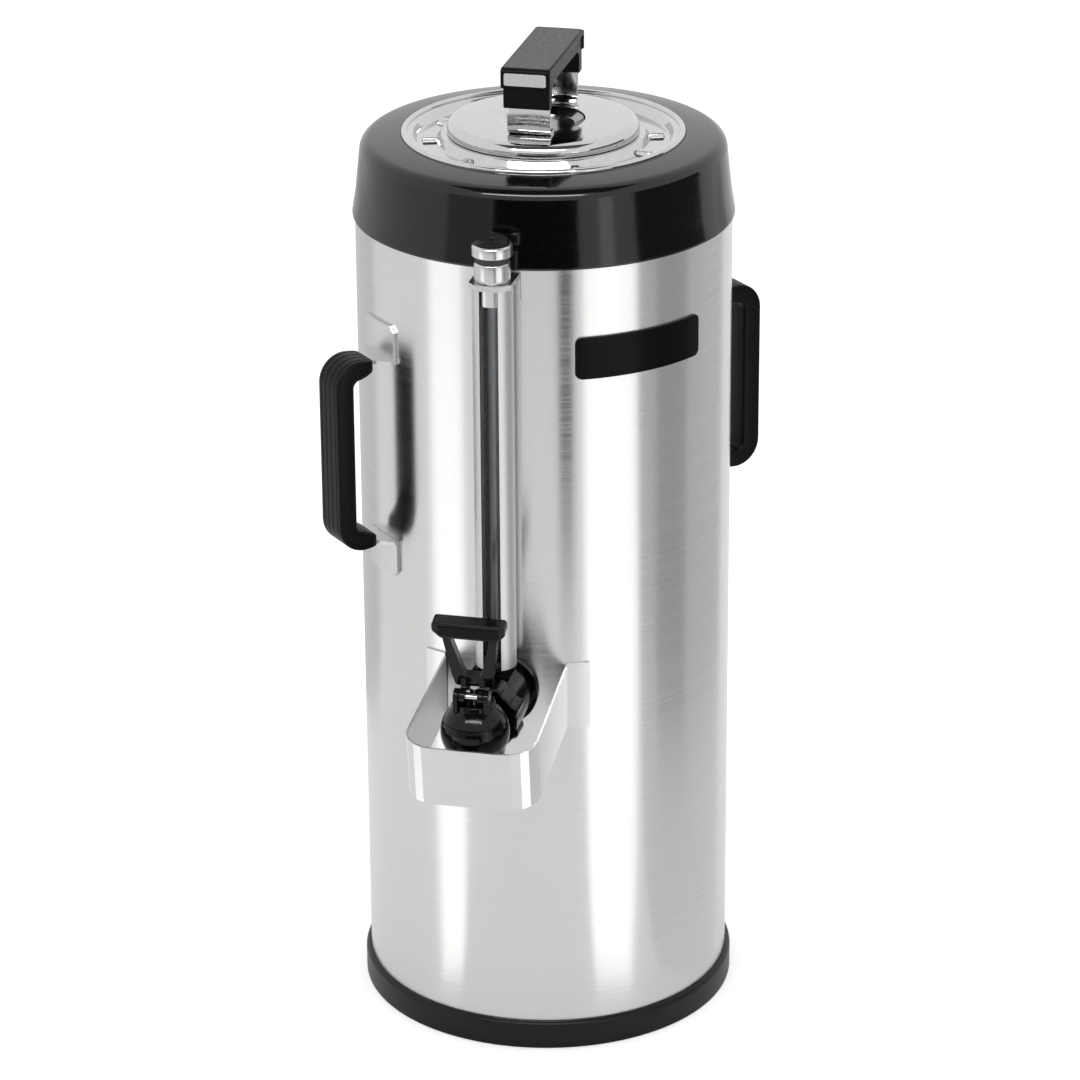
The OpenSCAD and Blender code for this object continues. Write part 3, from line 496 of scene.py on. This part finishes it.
def moulded_black():
    """Satin plastic of foot, vent and lid plug."""
    return finish_named("satin_moulded_plastic", black_plastic, settings().satin, (0.30, 0.42), 1500.0, 0.00012,
                        0.5)


def grip_black():
    """Matt plastic of the grips and the label."""
    return finish_named("matt_grip_plastic", black_plastic, settings().satin, (0.28, 0.40), 1300.0, 0.00015, 0.22)


def badge_black():
    """Dark enamel of the badge."""
    return finish_named("badge_enamel", black_plastic, settings().gloss, (0.16, 0.26), 700.0, 0.00002, 0.16)


def painted_light_grained_black():
    """Grained top of the lid grip, with a lighter colour and more sheen than the grip's walls: the grain is real,
    the extra lightness is painted light on the top.
    """
    return finish_named("grained_grip_top", black_plastic, settings().rubber, (0.36, 0.58), 700.0, 0.0005, 1.3)


def seal_black():
    """Rubber of the seals and the valve cup."""
    return finish_named("seal_rubber_finish", black_plastic, settings().rubber, (0.55, 0.75), 900.0, 0.0002)


class DressSolids(bpy.types.Operator):
    """Finishes of the solids that stay as they are"""

    bl_idname = "dispenser.dress_solids"
    bl_label = "Dress the solids"

    def execute(self, context):
        dress(["outer_shell", "support_ring", "vacuum_jacket", "inner_vessel", "vessel_shoulder", "vessel_neck",
               "outlet_tube"], body_steel())
        dress(["handle_strap_left", "handle_strap_right"], strap_steel())
        dress(["tap_guard"], rolled_steel())
        dress(["gauge_shield"], tube_steel())
        dress(["gauge_bracket", "gauge_head", "gauge_cap"], turned_steel())
        dress(["mouth_ring", "lid_disc", "lid_strap", "lever_pin", "tap_stem", "tap_spring"], pressed_steel())
        dress(["top_collar"], collar_black())
        dress(["badge_plate"], badge_black())
        dress(["tap_shank", "coupling_nut", "tap_body", "tap_bonnet", "tap_lever"], tap_black())
        dress(["base_foot", "gauge_vent", "lid_plug"], moulded_black())
        dress(["lid_grip", "handle_grip_left", "handle_grip_right"], grip_black())
        dress(["neck_seal", "gauge_seals", "shank_washer", "valve_cup", "lid_gasket"], seal_black())
        dress(["gauge_glass"], finish_named("gauge_tube_glass", clear_glass))
        return {"FINISHED"}


class TurnedMouldings(bpy.types.Operator):
    """Black collar and foot with rounded edges"""

    bl_idname = "dispenser.turned_mouldings"
    bl_label = "Collar and foot"

    def execute(self, context):
        size = fine_sizes()
        collar = rounded([
            (122.1, 547.0, 0.2), (123.5, 547.0, 0.5), (123.7, 548.4, 1.0), (121.26, 563.0, 0),
            (117.6, 596.9, size.collar_edge / MM), (91.5, 599.7, 0.4), (91.5, 598.7, 0), (86.4, 598.7, 0),
            (86.4, 595.7, 0), (91.4, 595.2, 0), (110.4, 590.4, 2.0), (115.4, 583.4, 3.0), (117.9, 558.0, 0),
            (117.9, 541.0, 0.5), (120.9, 541.0, 0.5), (120.9, 552.0, 0), (122.1, 552.0, 0)], closed=True, steps=9)
        hand_over(spun("collar_moulding", collar, steps=160), "dispenser", "black_gloss", collar_black(),
                  "top_collar")
        foot = rounded([
            (0, 0, 0), (125.5, 0, 1.4), (125.5, 19.4, size.foot_edge / MM), (122.1, 19.4, 0.3), (122.1, 6.0, 0),
            (120.9, 6.0, 0), (120.9, 13.0, 0.6), (117.9, 13.0, 0.6), (117.9, 4.0, 1.5), (0, 4.0, 0)], steps=7)
        hand_over(spun("foot_moulding", foot, steps=160), "dispenser", "black_matt", moulded_black(), "base_foot")
        return {"FINISHED"}


class MouthRing(bpy.types.Operator):
    """Pressed mouth ring with its rolled bead and the lugs in its channel"""

    bl_idname = "dispenser.mouth_ring"
    bl_label = "Mouth ring"

    def execute(self, context):
        section = rounded([
            (55.9, 581.8, 0), (55.9, 600.0, 2.5), (65.6, 600.0, 1.6), (68.6, 594.5, 1.6), (81.4, 594.5, 1.6),
            (83.9, 600.0, 1.2), (87.4, 600.0, 0), (87.4, 602.0, 1.95), (91.4, 602.0, 1.95), (91.4, 599.0, 0),
            (90.2, 598.8, 0), (84.7, 598.8, 1.0), (82.2, 593.3, 1.0), (67.8, 593.3, 1.0), (64.8, 598.8, 1.0),
            (57.1, 598.8, 1.3), (57.1, 581.8, 0)], closed=True, steps=6)
        ring = spun("mouth_ring_pressing", section, steps=144)
        size = fine_sizes()
        lugs = []
        for turn in LUG_TURNS:
            bpy.ops.object.select_all(action="DESELECT")
            bpy.ops.mesh.primitive_cube_add(size=1.0)
            lug = context.object
            bpy.ops.object.mode_set(mode="EDIT")
            bpy.ops.mesh.select_all(action="SELECT")
            bpy.ops.transform.resize(value=tuple(size.lug))
            bpy.ops.transform.translate(value=(0.0, -size.lug_radius, LUG_MIDDLE_Z * MM))
            pick(lug, lambda place: place.z > LUG_MIDDLE_Z * MM)
            bpy.ops.transform.resize(value=LUG_DRAFT, center_override=(0.0, -size.lug_radius, LUG_TOP_Z * MM))
            bpy.ops.mesh.select_all(action="SELECT")
            bpy.ops.transform.rotate(value=math.radians(turn), orient_axis="Z", center_override=(0.0, 0.0, 0.0))
            close_piece()
            bevel_edges(0.9 * MM, 4)
            lugs.append(lug)
        hand_over(join([ring] + lugs), "dispenser", "bright_steel", pressed_steel(), "mouth_ring")
        return {"FINISHED"}


class Lid(bpy.types.Operator):
    """Pressed lid and the steel strap of its handle"""

    bl_idname = "dispenser.lid"
    bl_label = "Lid"

    def execute(self, context):
        edge = fine_sizes().lid_edge / MM
        section = rounded([
            (0, 604.5, 0), (20.0, 604.5, 5.0), (27.0, 608.5, 5.0), (62.0, 608.5, edge), (62.0, 600.3, 0.4),
            (60.8, 600.3, 0.3), (60.8, 607.3, edge - LID_SHEET), (27.3, 607.3, 4.0), (20.3, 603.3, 4.0),
            (0, 603.3, 0)], steps=8)
        hand_over(spun("lid_pressing", section, steps=128), "lid", "bright_steel", pressed_steel(), "lid_disc")

        path = rounded([(-29.0, 609.7, 0), (-39.9, 609.7, 3.5), (-39.9, 644.4, 4.0), (39.9, 644.4, 4.0),
                        (39.9, 609.7, 3.5), (29.0, 609.7, 0)], steps=6)
        line = [Vector((-14.0, y, z)) * MM for y, z in path]
        strap = start_piece("lid_handle_strap", line[0])
        draw_line(line)
        extrude(Vector((28.0 * MM, 0.0, 0.0)))
        close_piece()
        thicken(2.2 * MM, 0.0)
        bevel_edges(0.5 * MM, 2)
        hand_over(strap, "lid", "bright_steel", pressed_steel(), "lid_strap")
        return {"FINISHED"}


def slab(name, outline, start, way):
    """A flat outline of points, filled and extruded."""
    line = [start(*point) for point in outline]
    piece = start_piece(name, line[0])
    draw_line(line, closed=True)
    bpy.ops.mesh.edge_face_add()
    extrude(way)
    close_piece()
    return piece


class LidGrip(bpy.types.Operator):
    """Black grip on the lid: a cap with turned-down ends over a narrower block"""

    bl_idname = "dispenser.lid_grip"
    bl_label = "Lid grip"

    def execute(self, context):
        cap_outline = rounded([
            (-50.0, 641.5, 0.8), (-50.0, 654.5, 2.6), (50.0, 654.5, 2.6), (50.0, 641.5, 0.8), (46.5, 641.5, 0.8),
            (46.5, 651.0, 1.0), (-46.5, 651.0, 1.0), (-46.5, 641.5, 0.8)], closed=True, steps=4)
        cap = slab("lid_grip_moulding", cap_outline, lambda y, z: Vector((-16.0, y, z)) * MM,
                   Vector((32.0 * MM, 0.0, 0.0)))
        bevel_edges(1.1 * MM, 3, 50.0)
        block_outline = rounded([
            (-47.0, 627.5, 1.5), (-47.0, 652.0, 0), (47.0, 652.0, 0), (47.0, 627.5, 1.5), (38.3, 627.5, 1.5),
            (38.3, 642.8, 6.0), (-38.3, 642.8, 6.0), (-38.3, 627.5, 1.5)], closed=True, steps=5)
        block = slab("lid_grip_block", block_outline, lambda y, z: Vector((-15.0, y, z)) * MM,
                     Vector((30.0 * MM, 0.0, 0.0)))
        bevel_edges(0.9 * MM, 3, 50.0)
        hand_over(join([cap, block]), "lid", "black_matt", grip_black(), "lid_grip")

        # The top pad's grain is real; its lighter, shinier finish is painted light standing in for the light that
        # falls on the grip's top.
        pad = rounded([(-14.9, -47.5, 1.5), (14.9, -47.5, 1.5), (14.9, 47.5, 1.5), (-14.9, 47.5, 1.5)],
                      closed=True, steps=4)
        top = slab("lid_grip_painted_light_pad", pad, lambda x, y: Vector((x, y, 654.3)) * MM, Vector((0.0, 0.0, 0.6 * MM)))
        bevel_edges(0.25 * MM, 2, 50.0)
        hand_over(top, "lid", "black_matt", painted_light_grained_black())
        plate = rounded([(-13.6, 643.4, 1.2), (13.6, 643.4, 1.2), (13.6, 651.6, 1.2), (-13.6, 651.6, 1.2)],
                        closed=True, steps=4)
        ends = []
        for y in (-50.3, 49.7):
            ends.append(slab("lid_grip_end_plates", plate, lambda x, z: Vector((x, y, z)) * MM,
                             Vector((0.0, 0.6 * MM, 0.0))))
            bevel_edges(0.2 * MM, 2, 50.0)
        hand_over(join(ends), "lid", "bright_steel", turned_steel())
        return {"FINISHED"}


class SideGrips(bpy.types.Operator):
    """The two black side grips: ridged sleeves bent round their straps, with tapered ends"""

    bl_idname = "dispenser.side_grips"
    bl_label = "Side grips"

    def execute(self, context):
        for name, turn, node in (("left_grip_sleeve", -46.5, "handle_grip_left"),
                                 ("right_grip_sleeve", 133.5, "handle_grip_right")):
            self.sleeve(name, math.radians(turn), node)
        return {"FINISHED"}

    def sleeve(self, name, turn, node):
        """One grip: its section is drawn at the upper root, then led out, down and back along the strap."""
        out = Vector((math.sin(turn), -math.cos(turn), 0.0))
        side = Vector((math.cos(turn), math.sin(turn), 0.0))
        middle, half, bend, reach, start = 408.0, 62.0, 15.0, 157.5, 133.0
        bottom = GRIP_FACE - fine_sizes().groove / MM
        corners = [(-13.0, -10.0, 2.5), (13.0, -10.0, 2.5), (13.0, GRIP_FACE, 1.4)]
        for at in GRIP_GROOVES:
            corners += [(at + GROOVE_HALF, GRIP_FACE, 0.3), (at, bottom, 0.3), (at - GROOVE_HALF, GRIP_FACE, 0.3)]
        section = rounded(corners + [(-13.0, GRIP_FACE, 1.4)], closed=True, steps=3)
        taper = ((0.0, 0.80, 0.55), (0.8, 0.90, 0.62), (2.2, 0.96, 0.70), (5.0, 1.0, 0.84), (9.5, 1.0, 1.0))
        root = (out * start + UP * (middle + half)) * MM
        line = [root + (side * u * taper[0][1] + UP * v * taper[0][2]) * MM for u, v in section]
        piece = start_piece(name, line[0])
        draw_line(line, closed=True)
        bpy.ops.mesh.edge_face_add()
        for (near, wide, high), (far, wider, higher) in zip(taper, taper[1:]):
            extrude(out * (far - near) * MM)
            bpy.ops.transform.resize(value=(wider / wide, wider / wide, higher / high),
                                     center_override=root + out * far * MM)
        for turn_at in (half - bend, bend - half):
            bpy.ops.mesh.spin(steps=10, angle=math.pi / 2, axis=-side,
                              center=(out * (reach - bend) + UP * (middle + turn_at)) * MM)
            if turn_at > 0:
                extrude(-UP * 2 * turn_at * MM)
        root = root - UP * 2 * half * MM
        for (near, wide, high), (far, wider, higher) in reversed(list(zip(taper, taper[1:]))):
            extrude(-out * (far - near) * MM)
            bpy.ops.transform.resize(value=(wide / wider, wide / wider, high / higher),
                                     center_override=root + out * near * MM)
        close_piece(40.0)
        hand_over(piece, "dispenser", "black_matt", grip_black(), node)


class TapLever(bpy.types.Operator):
    """Tap lever: leaning triangle with an open loop, two cheeks and a bare label plate"""

    bl_idname = "dispenser.tap_lever"
    bl_label = "Tap lever"

    def execute(self, context):
        lean = math.radians(LEVER_LEAN)
        upward = Vector((0.0, -math.sin(lean), math.cos(lean)))
        forward = Vector((0.0, -math.cos(lean), -math.sin(lean)))
        yoke = Vector((0.0, TAP_Y, 300.0))

        def on_lever(x, u, v):
            """A point by its place across, up and out of the leaning lever."""
            return (yoke + Vector((x, 0.0, 0.0)) + upward * u + forward * v) * MM

        outer = rounded([
            (-11.6, -2.0, 2.0), (11.6, -2.0, 2.0), (13.6, 6.3, 4.0), (17.5, 35.0, 3.0), (20.5, 38.2, 0.8),
            (20.5, 46.0, 0.8), (-20.5, 46.0, 0.8), (-20.5, 38.2, 0.8), (-17.5, 35.0, 3.0), (-13.6, 6.3, 4.0)],
            closed=True, steps=4)
        loop = rounded([(-5.6, 6.3, 2.2), (5.6, 6.3, 2.2), (12.8, 36.0, 2.2), (-12.8, 36.0, 2.2)],
                       closed=True, steps=5)
        rim = [on_lever(x, u, -2.8) for x, u in outer]
        hole = [on_lever(x, u, -2.8) for x, u in loop]
        lever = start_piece("tap_lever_moulding", rim[0])
        draw_line(rim, closed=True)
        bpy.ops.mesh.select_all(action="DESELECT")
        bpy.ops.object.mode_set(mode="OBJECT")
        opening = start_piece("tap_lever_loop", hole[0])
        draw_line(hole, closed=True)
        bpy.ops.object.mode_set(mode="OBJECT")
        join([lever, opening])
        bpy.ops.object.mode_set(mode="EDIT")
        bpy.ops.mesh.select_all(action="SELECT")
        bpy.ops.mesh.fill(use_beauty=True)
        extrude(forward * 5.6 * MM)
        close_piece()
        bevel_edges(1.0 * MM, 3, 40.0)

        bar = rounded([
            (-18.4, 36.0, 1.0), (18.4, 36.0, 1.0), (23.5, 41.2, 2.4), (23.5, 48.0, 2.6), (-23.5, 48.0, 2.6),
            (-23.5, 41.2, 2.4)], closed=True, steps=4)
        cheeks = [slab("tap_lever_bar", bar, lambda x, u: on_lever(x, u, -4.8), forward * 9.6 * MM)]
        bevel_edges(fine_sizes().lever_edge, 4, 40.0)
        for x in (-8.0, 4.0):
            outline = rounded([
                (-209.5, 287.5, 4.4), (-191.95, 287.5, 4.4), (-191.95, 296.5, 3.0), (-194.0, 303.0, 0),
                (-202.0, 303.0, 0), (-202.5, 296.5, 2.0), (-209.5, 296.5, 4.4)], closed=True, steps=5)
            cheeks.append(slab("tap_lever_cheek", outline, lambda y, z: Vector((x, y, z)) * MM,
                               Vector((4.0 * MM, 0.0, 0.0))))
            bevel_edges(0.5 * MM, 2, 50.0)
        hand_over(join([lever] + cheeks), "tap_lever", "black_gloss", tap_black(), "tap_lever")

        plate = rounded([(-19.5, 38.2, 1.2), (19.5, 38.2, 1.2), (19.5, 45.6, 1.2), (-19.5, 45.6, 1.2)],
                        closed=True, steps=4)
        label = slab("tap_lever_label", plate, lambda x, u: on_lever(x, u, 4.6), forward * 0.7 * MM)
        bevel_edges(0.25 * MM, 2, 50.0)
        hand_over(label, "tap_lever", "black_matt", grip_black())
        return {"FINISHED"}


class TapFittings(bpy.types.Operator):
    """Ribbed coupling nut and the bonnet with its ears"""

    bl_idname = "dispenser.tap_fittings"
    bl_label = "Nut and bonnet"

    def execute(self, context):
        rib = fine_sizes().nut_rib / MM
        outline = []
        for i in range(NUT_POINTS):
            angle = 2 * math.pi * i / NUT_POINTS
            radius = NUT_RADIUS + rib * max(0.0, math.cos(NUT_RIBS * angle - math.pi)) ** 1.5
            outline.append((radius * math.cos(angle), radius * math.sin(angle)))
        nut = slab("coupling_nut_moulding", outline, lambda x, z: Vector((x, -157.0, TAP_Z + z)) * MM,
                   Vector((0.0, -18.0 * MM, 0.0)))
        bevel_edges(1.6 * MM, 4, 60.0)
        hand_over(nut, "dispenser", "black_gloss", tap_black(), "coupling_nut")

        dome_radius, dome_z = 22.0, TAP_Z + 4.0
        dome = [(dome_radius * math.cos(math.radians(a)), dome_z + dome_radius * math.sin(math.radians(a)), 0)
                for a in range(22, 54, 3)]
        cap = rounded([(13.35, 274.2, 0)] + dome + [
            (13.0, 286.5, 0.9), (3.1, 286.5, 0.4), (3.1, 282.0, 0), (13.35, 282.0, 0)], closed=True, steps=5)
        bonnet = spun("tap_bonnet_moulding", cap, at=(0.0, TAP_Y), steps=72)
        ears = []
        for x in (-11.4, 8.4):
            ear = rounded([(-210.0, 282.4, 0), (-210.0, 297.0, 4.98), (-200.0, 297.0, 4.98), (-200.0, 282.4, 0)],
                          closed=True, steps=7)
            ears.append(slab("tap_bonnet_ear", ear, lambda y, z: Vector((x, y, z)) * MM,
                             Vector((3.0 * MM, 0.0, 0.0))))
            bevel_edges(0.5 * MM, 2, 50.0)
        hand_over(join([bonnet] + ears), "dispenser", "black_gloss", tap_black(), "tap_bonnet")
        return {"FINISHED"}


class TapSpring(bpy.types.Operator):
    """Closing spring of the tap, squeezed under the bonnet as the stem rises"""

    bl_idname = "dispenser.tap_spring"
    bl_label = "Tap spring"

    def execute(self, context):
        radius, low, rise, sides = 6.5, 256.78, 24.44, 12
        wire = fine_sizes().spring_wire / MM
        turns = fine_sizes().spring_turns
        section = []
        for i in range(sides):
            angle = 2 * math.pi * i / sides
            section.append(Vector((radius + wire * math.cos(angle), 0.0, low + wire * math.sin(angle))) * MM)
        spring = start_piece("tap_spring_coil", section[0])
        draw_line(section, closed=True)
        bpy.ops.object.mode_set(mode="OBJECT")
        bpy.ops.object.modifier_add(type="SCREW")
        coil = spring.modifiers[-1]
        coil.steps = 32
        coil.render_steps = 32
        coil.iterations = turns
        coil.screw_offset = rise / turns * MM
        bpy.ops.object.modifier_apply(modifier=coil.name)
        bpy.ops.object.mode_set(mode="EDIT")
        bpy.ops.mesh.select_all(action="SELECT")
        bpy.ops.mesh.fill_holes(sides=0)
        bpy.ops.mesh.select_all(action="SELECT")
        bpy.ops.transform.translate(value=(0.0, TAP_Y * MM, 0.0))
        close_piece()
        hand_over(spring, "dispenser", "bright_steel", pressed_steel(), "tap_spring")
        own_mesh(spring)
        return {"FINISHED"}


class GaugeFittings(bpy.types.Operator):
    """Turned head, cap and vent of the sight gauge"""

    bl_idname = "dispenser.gauge_fittings"
    bl_label = "Gauge fittings"

    def execute(self, context):
        head = rounded([
            (6.6, 531.0, 0), (10.5, 531.0, 0.5), (10.5, 546.1, 0), (11.5, 546.1, 0.6), (11.5, 558.5, 1.2),
            (9.0, 558.5, 0), (9.0, 567.0, 0), (4.7, 567.0, 0), (4.7, 556.1, 0), (6.6, 556.1, 0)],
            closed=True, steps=5)
        hand_over(spun("gauge_head_turning", head, GAUGE_AT, 64), "dispenser", "bright_steel", turned_steel(),
                  "gauge_head")
        cap = rounded([(9.1, 562.5, 0), (13.0, 562.5, 0.9), (13.0, 570.0, 1.8), (2.0, 570.0, 0.2), (2.0, 568.0, 0),
                       (9.1, 568.0, 0)], closed=True, steps=5)
        hand_over(spun("gauge_cap_turning", cap, GAUGE_AT, 64), "gauge_cap", "bright_steel", turned_steel(),
                  "gauge_cap")
        vent = rounded([(1.5, 570.1, 0), (11.0, 570.1, 0.4), (11.0, 571.7, 0.8), (9.2, 573.1, 0.8),
                        (3.0, 572.7, 0.4), (1.5, 572.2, 0.3)], closed=True, steps=4)
        hand_over(spun("gauge_vent_moulding", vent, GAUGE_AT, 64), "gauge_cap", "black_matt", moulded_black(),
                  "gauge_vent")
        return {"FINISHED"}


def seen_directly(tree):
    """1 for camera, glossy and transmitted rays, 0 for the light that falls on things; and the ray's kinds."""
    path = tree.nodes.new("ShaderNodeLightPath")
    both = tree.nodes.new("ShaderNodeMath")
    both.operation = "MAXIMUM"
    tree.links.new(path.outputs["Is Camera Ray"], both.inputs[0])
    tree.links.new(path.outputs["Is Glossy Ray"], both.inputs[1])
    all_three = tree.nodes.new("ShaderNodeMath")
    all_three.operation = "MAXIMUM"
    tree.links.new(both.outputs[0], all_three.inputs[0])
    tree.links.new(path.outputs["Is Transmission Ray"], all_three.inputs[1])
    return all_three.outputs[0], path.outputs


def soft_lamp(name, place, size, power):
    """A square lamp overhead that lights things but isn't mirrored in them."""
    data = bpy.data.lights.new(name, "AREA")
    data.size = size
    data.energy = power
    lamp = bpy.data.objects.new(name, data)
    bpy.context.scene.collection.objects.link(lamp)
    lamp.location = place
    lamp.visible_glossy = False


def card(name, place, facing, width, height, level):
    """A grey card that only reflections show."""
    bpy.ops.object.select_all(action="DESELECT")
    bpy.ops.mesh.primitive_plane_add(size=1.0, location=place, rotation=facing)
    piece = bpy.context.object
    piece.name = name
    piece.scale = (width, height, 1.0)
    finish, tree, shader = new_finish(name)
    shader.inputs["Base Color"].default_value = (0.0, 0.0, 0.0, 1.0)
    shader.inputs["Specular IOR Level"].default_value = 0.0
    shader.inputs["Emission Color"].default_value = (1.0, 1.0, 1.0, 1.0)
    shader.inputs["Emission Strength"].default_value = level
    piece.data.materials.append(finish)
    piece.visible_camera = False
    piece.visible_diffuse = False
    piece.visible_transmission = False
    piece.visible_shadow = False
    return piece


def hung_card(name, azimuth, elevation, distance, width, height, level):
    """A card in the air that faces the middle of the object."""
    way = Vector((math.sin(azimuth) * math.cos(elevation), -math.cos(azimuth) * math.cos(elevation),
                  math.sin(elevation)))
    card(name, CARD_AIM + way * distance, way.to_track_quat("Z", "Y").to_euler(), width, height, level)


def floor_wedge(name, azimuth, spread, near, far, level):
    """A wedge of card on the floor that widens from the spot of the body that mirrors it to the camera."""
    spot = (azimuth + bpy.context.scene.dispenser_stage.azimuth) / 2
    start = Vector((math.sin(spot), -math.cos(spot), 0.0)) * BODY_RADIUS
    way = Vector((math.sin(azimuth), -math.cos(azimuth), 0.0))
    lift = Vector((0.0, 0.0, CARD_LIFT + CARD_LIFT / level))
    piece = card(name, start + way * (near + far) / 2 + lift, (0.0, 0.0, azimuth), 2 * far * math.tan(spread),
                 far - near, level)
    pick(piece, lambda place: place.y > 0)
    bpy.ops.transform.resize(value=(near / far, 1.0, 1.0), orient_type="LOCAL", center_override=start + way * near)
    bpy.ops.object.mode_set(mode="OBJECT")


class StudioStage(bpy.types.Operator):
    """White floor and background, soft lamps and the camera"""

    bl_idname = "dispenser.studio_stage"
    bl_label = "Set the stage"

    def execute(self, context):
        scene = context.scene
        stage = scene.dispenser_stage
        scene.view_settings.view_transform = "Standard"

        data = bpy.data.cameras.new("photo_camera")
        data.lens = stage.lens
        data.sensor_width = 36.0
        data.clip_end = 50.0
        camera = bpy.data.objects.new("photo_camera", data)
        scene.collection.objects.link(camera)
        camera.location = (stage.distance * math.sin(stage.azimuth),
                           -stage.distance * math.cos(stage.azimuth), stage.height)
        heading = Matrix.Rotation(stage.azimuth + stage.yaw, 3, "Z")
        tilt = Matrix.Rotation(math.pi / 2 - stage.pitch, 3, "X")
        roll = Matrix.Rotation(stage.roll, 3, "Z")
        camera.rotation_euler = (heading @ tilt @ roll).to_euler()
        scene.camera = camera

        world = bpy.data.worlds.new("white_room")
        world.use_nodes = True
        tree = world.node_tree
        level = tree.nodes.new("ShaderNodeMapRange")
        level.inputs["To Min"].default_value = stage.ambient
        level.inputs["To Max"].default_value = 1.0
        tree.links.new(seen_directly(tree)[0], level.inputs["Value"])
        tree.nodes["Background"].inputs["Color"].default_value = (1.0, 1.0, 1.0, 1.0)
        tree.links.new(level.outputs["Result"], tree.nodes["Background"].inputs["Strength"])
        scene.world = world

        bpy.ops.object.select_all(action="DESELECT")
        bpy.ops.mesh.primitive_plane_add(size=FLOOR_SIZE)
        floor = context.object
        floor.name = "studio_floor"
        finish, tree, shader = new_finish("pale_floor")
        shader.inputs["Base Color"].default_value = list(stage.floor) + [1.0]
        shader.inputs["Roughness"].default_value = 0.9
        shader.inputs["Specular IOR Level"].default_value = 0.0
        shader.inputs["Emission Color"].default_value = (1.0, 1.0, 1.0, 1.0)
        seen, kinds = seen_directly(tree)
        mirrored = tree.nodes.new("ShaderNodeMath")
        mirrored.operation = "MULTIPLY"
        mirrored.inputs[1].default_value = MIRRORED_GLOW
        tree.links.new(seen, mirrored.inputs[0])
        glow = tree.nodes.new("ShaderNodeMath")
        glow.operation = "MULTIPLY_ADD"
        glow.inputs[1].default_value = CAMERA_GLOW
        tree.links.new(kinds["Is Camera Ray"], glow.inputs[0])
        tree.links.new(mirrored.outputs[0], glow.inputs[2])
        tree.links.new(glow.outputs[0], shader.inputs["Emission Strength"])
        floor.data.materials.append(finish)

        soft_lamp("softbox", SOFTBOX_PLACE, SOFTBOX_SIZE, stage.softbox)
        for name, azimuth, half, near, far in POOLS:
            floor_wedge(name, math.radians(azimuth), math.radians(half), near, far, stage.pool)
        for name, azimuth, half, near, far, level in FLOOR_CARDS:
            floor_wedge(name, math.radians(azimuth), math.radians(half), near, far, level)
        for name, azimuth, elevation, distance, width, height, level in HUNG_CARDS:
            hung_card(name, math.radians(azimuth), math.radians(elevation), distance, width, height, level)
        return {"FINISHED"}


class DispenserPanel(bpy.types.Panel):
    """The steps of the dispenser's looks, and their sizes and colours"""

    bl_idname = "VIEW3D_PT_dispenser"
    bl_label = "Dispenser"
    bl_space_type = "VIEW_3D"
    bl_region_type = "UI"
    bl_category = "Dispenser"

    def draw(self, context):
        layout = self.layout
        for step in STEPS:
            layout.operator(step.bl_idname)
        scene = context.scene
        for group in (scene.dispenser_finishes, scene.dispenser_sizes, scene.dispenser_stage):
            box = layout.box()
            for name in group.bl_rna.properties.keys():
                if name not in ("rna_type", "name"):
                    box.prop(group, name)


STEPS = (StudioStage, DressSolids, TurnedMouldings, MouthRing, Lid, LidGrip, SideGrips, TapLever, TapFittings,
         TapSpring, GaugeFittings)
CLASSES = (DispenserFinishes, DispenserSizes, DispenserStage) + STEPS + (DispenserPanel,)


def register():
    for kind in CLASSES:
        bpy.utils.register_class(kind)
    bpy.types.Scene.dispenser_finishes = bpy.props.PointerProperty(type=DispenserFinishes)
    bpy.types.Scene.dispenser_sizes = bpy.props.PointerProperty(type=DispenserSizes)
    bpy.types.Scene.dispenser_stage = bpy.props.PointerProperty(type=DispenserStage)


def unregister():
    del bpy.types.Scene.dispenser_stage
    del bpy.types.Scene.dispenser_sizes
    del bpy.types.Scene.dispenser_finishes
    for kind in reversed(CLASSES):
        bpy.utils.unregister_class(kind)


def main():
    register()
    bpy.ops.dispenser.studio_stage()
    bpy.ops.dispenser.dress_solids()
    bpy.ops.dispenser.turned_mouldings()
    bpy.ops.dispenser.mouth_ring()
    bpy.ops.dispenser.lid()
    bpy.ops.dispenser.lid_grip()
    bpy.ops.dispenser.side_grips()
    bpy.ops.dispenser.tap_lever()
    bpy.ops.dispenser.tap_fittings()
    bpy.ops.dispenser.tap_spring()
    bpy.ops.dispenser.gauge_fittings()


if __name__ == "__main__":
    main()
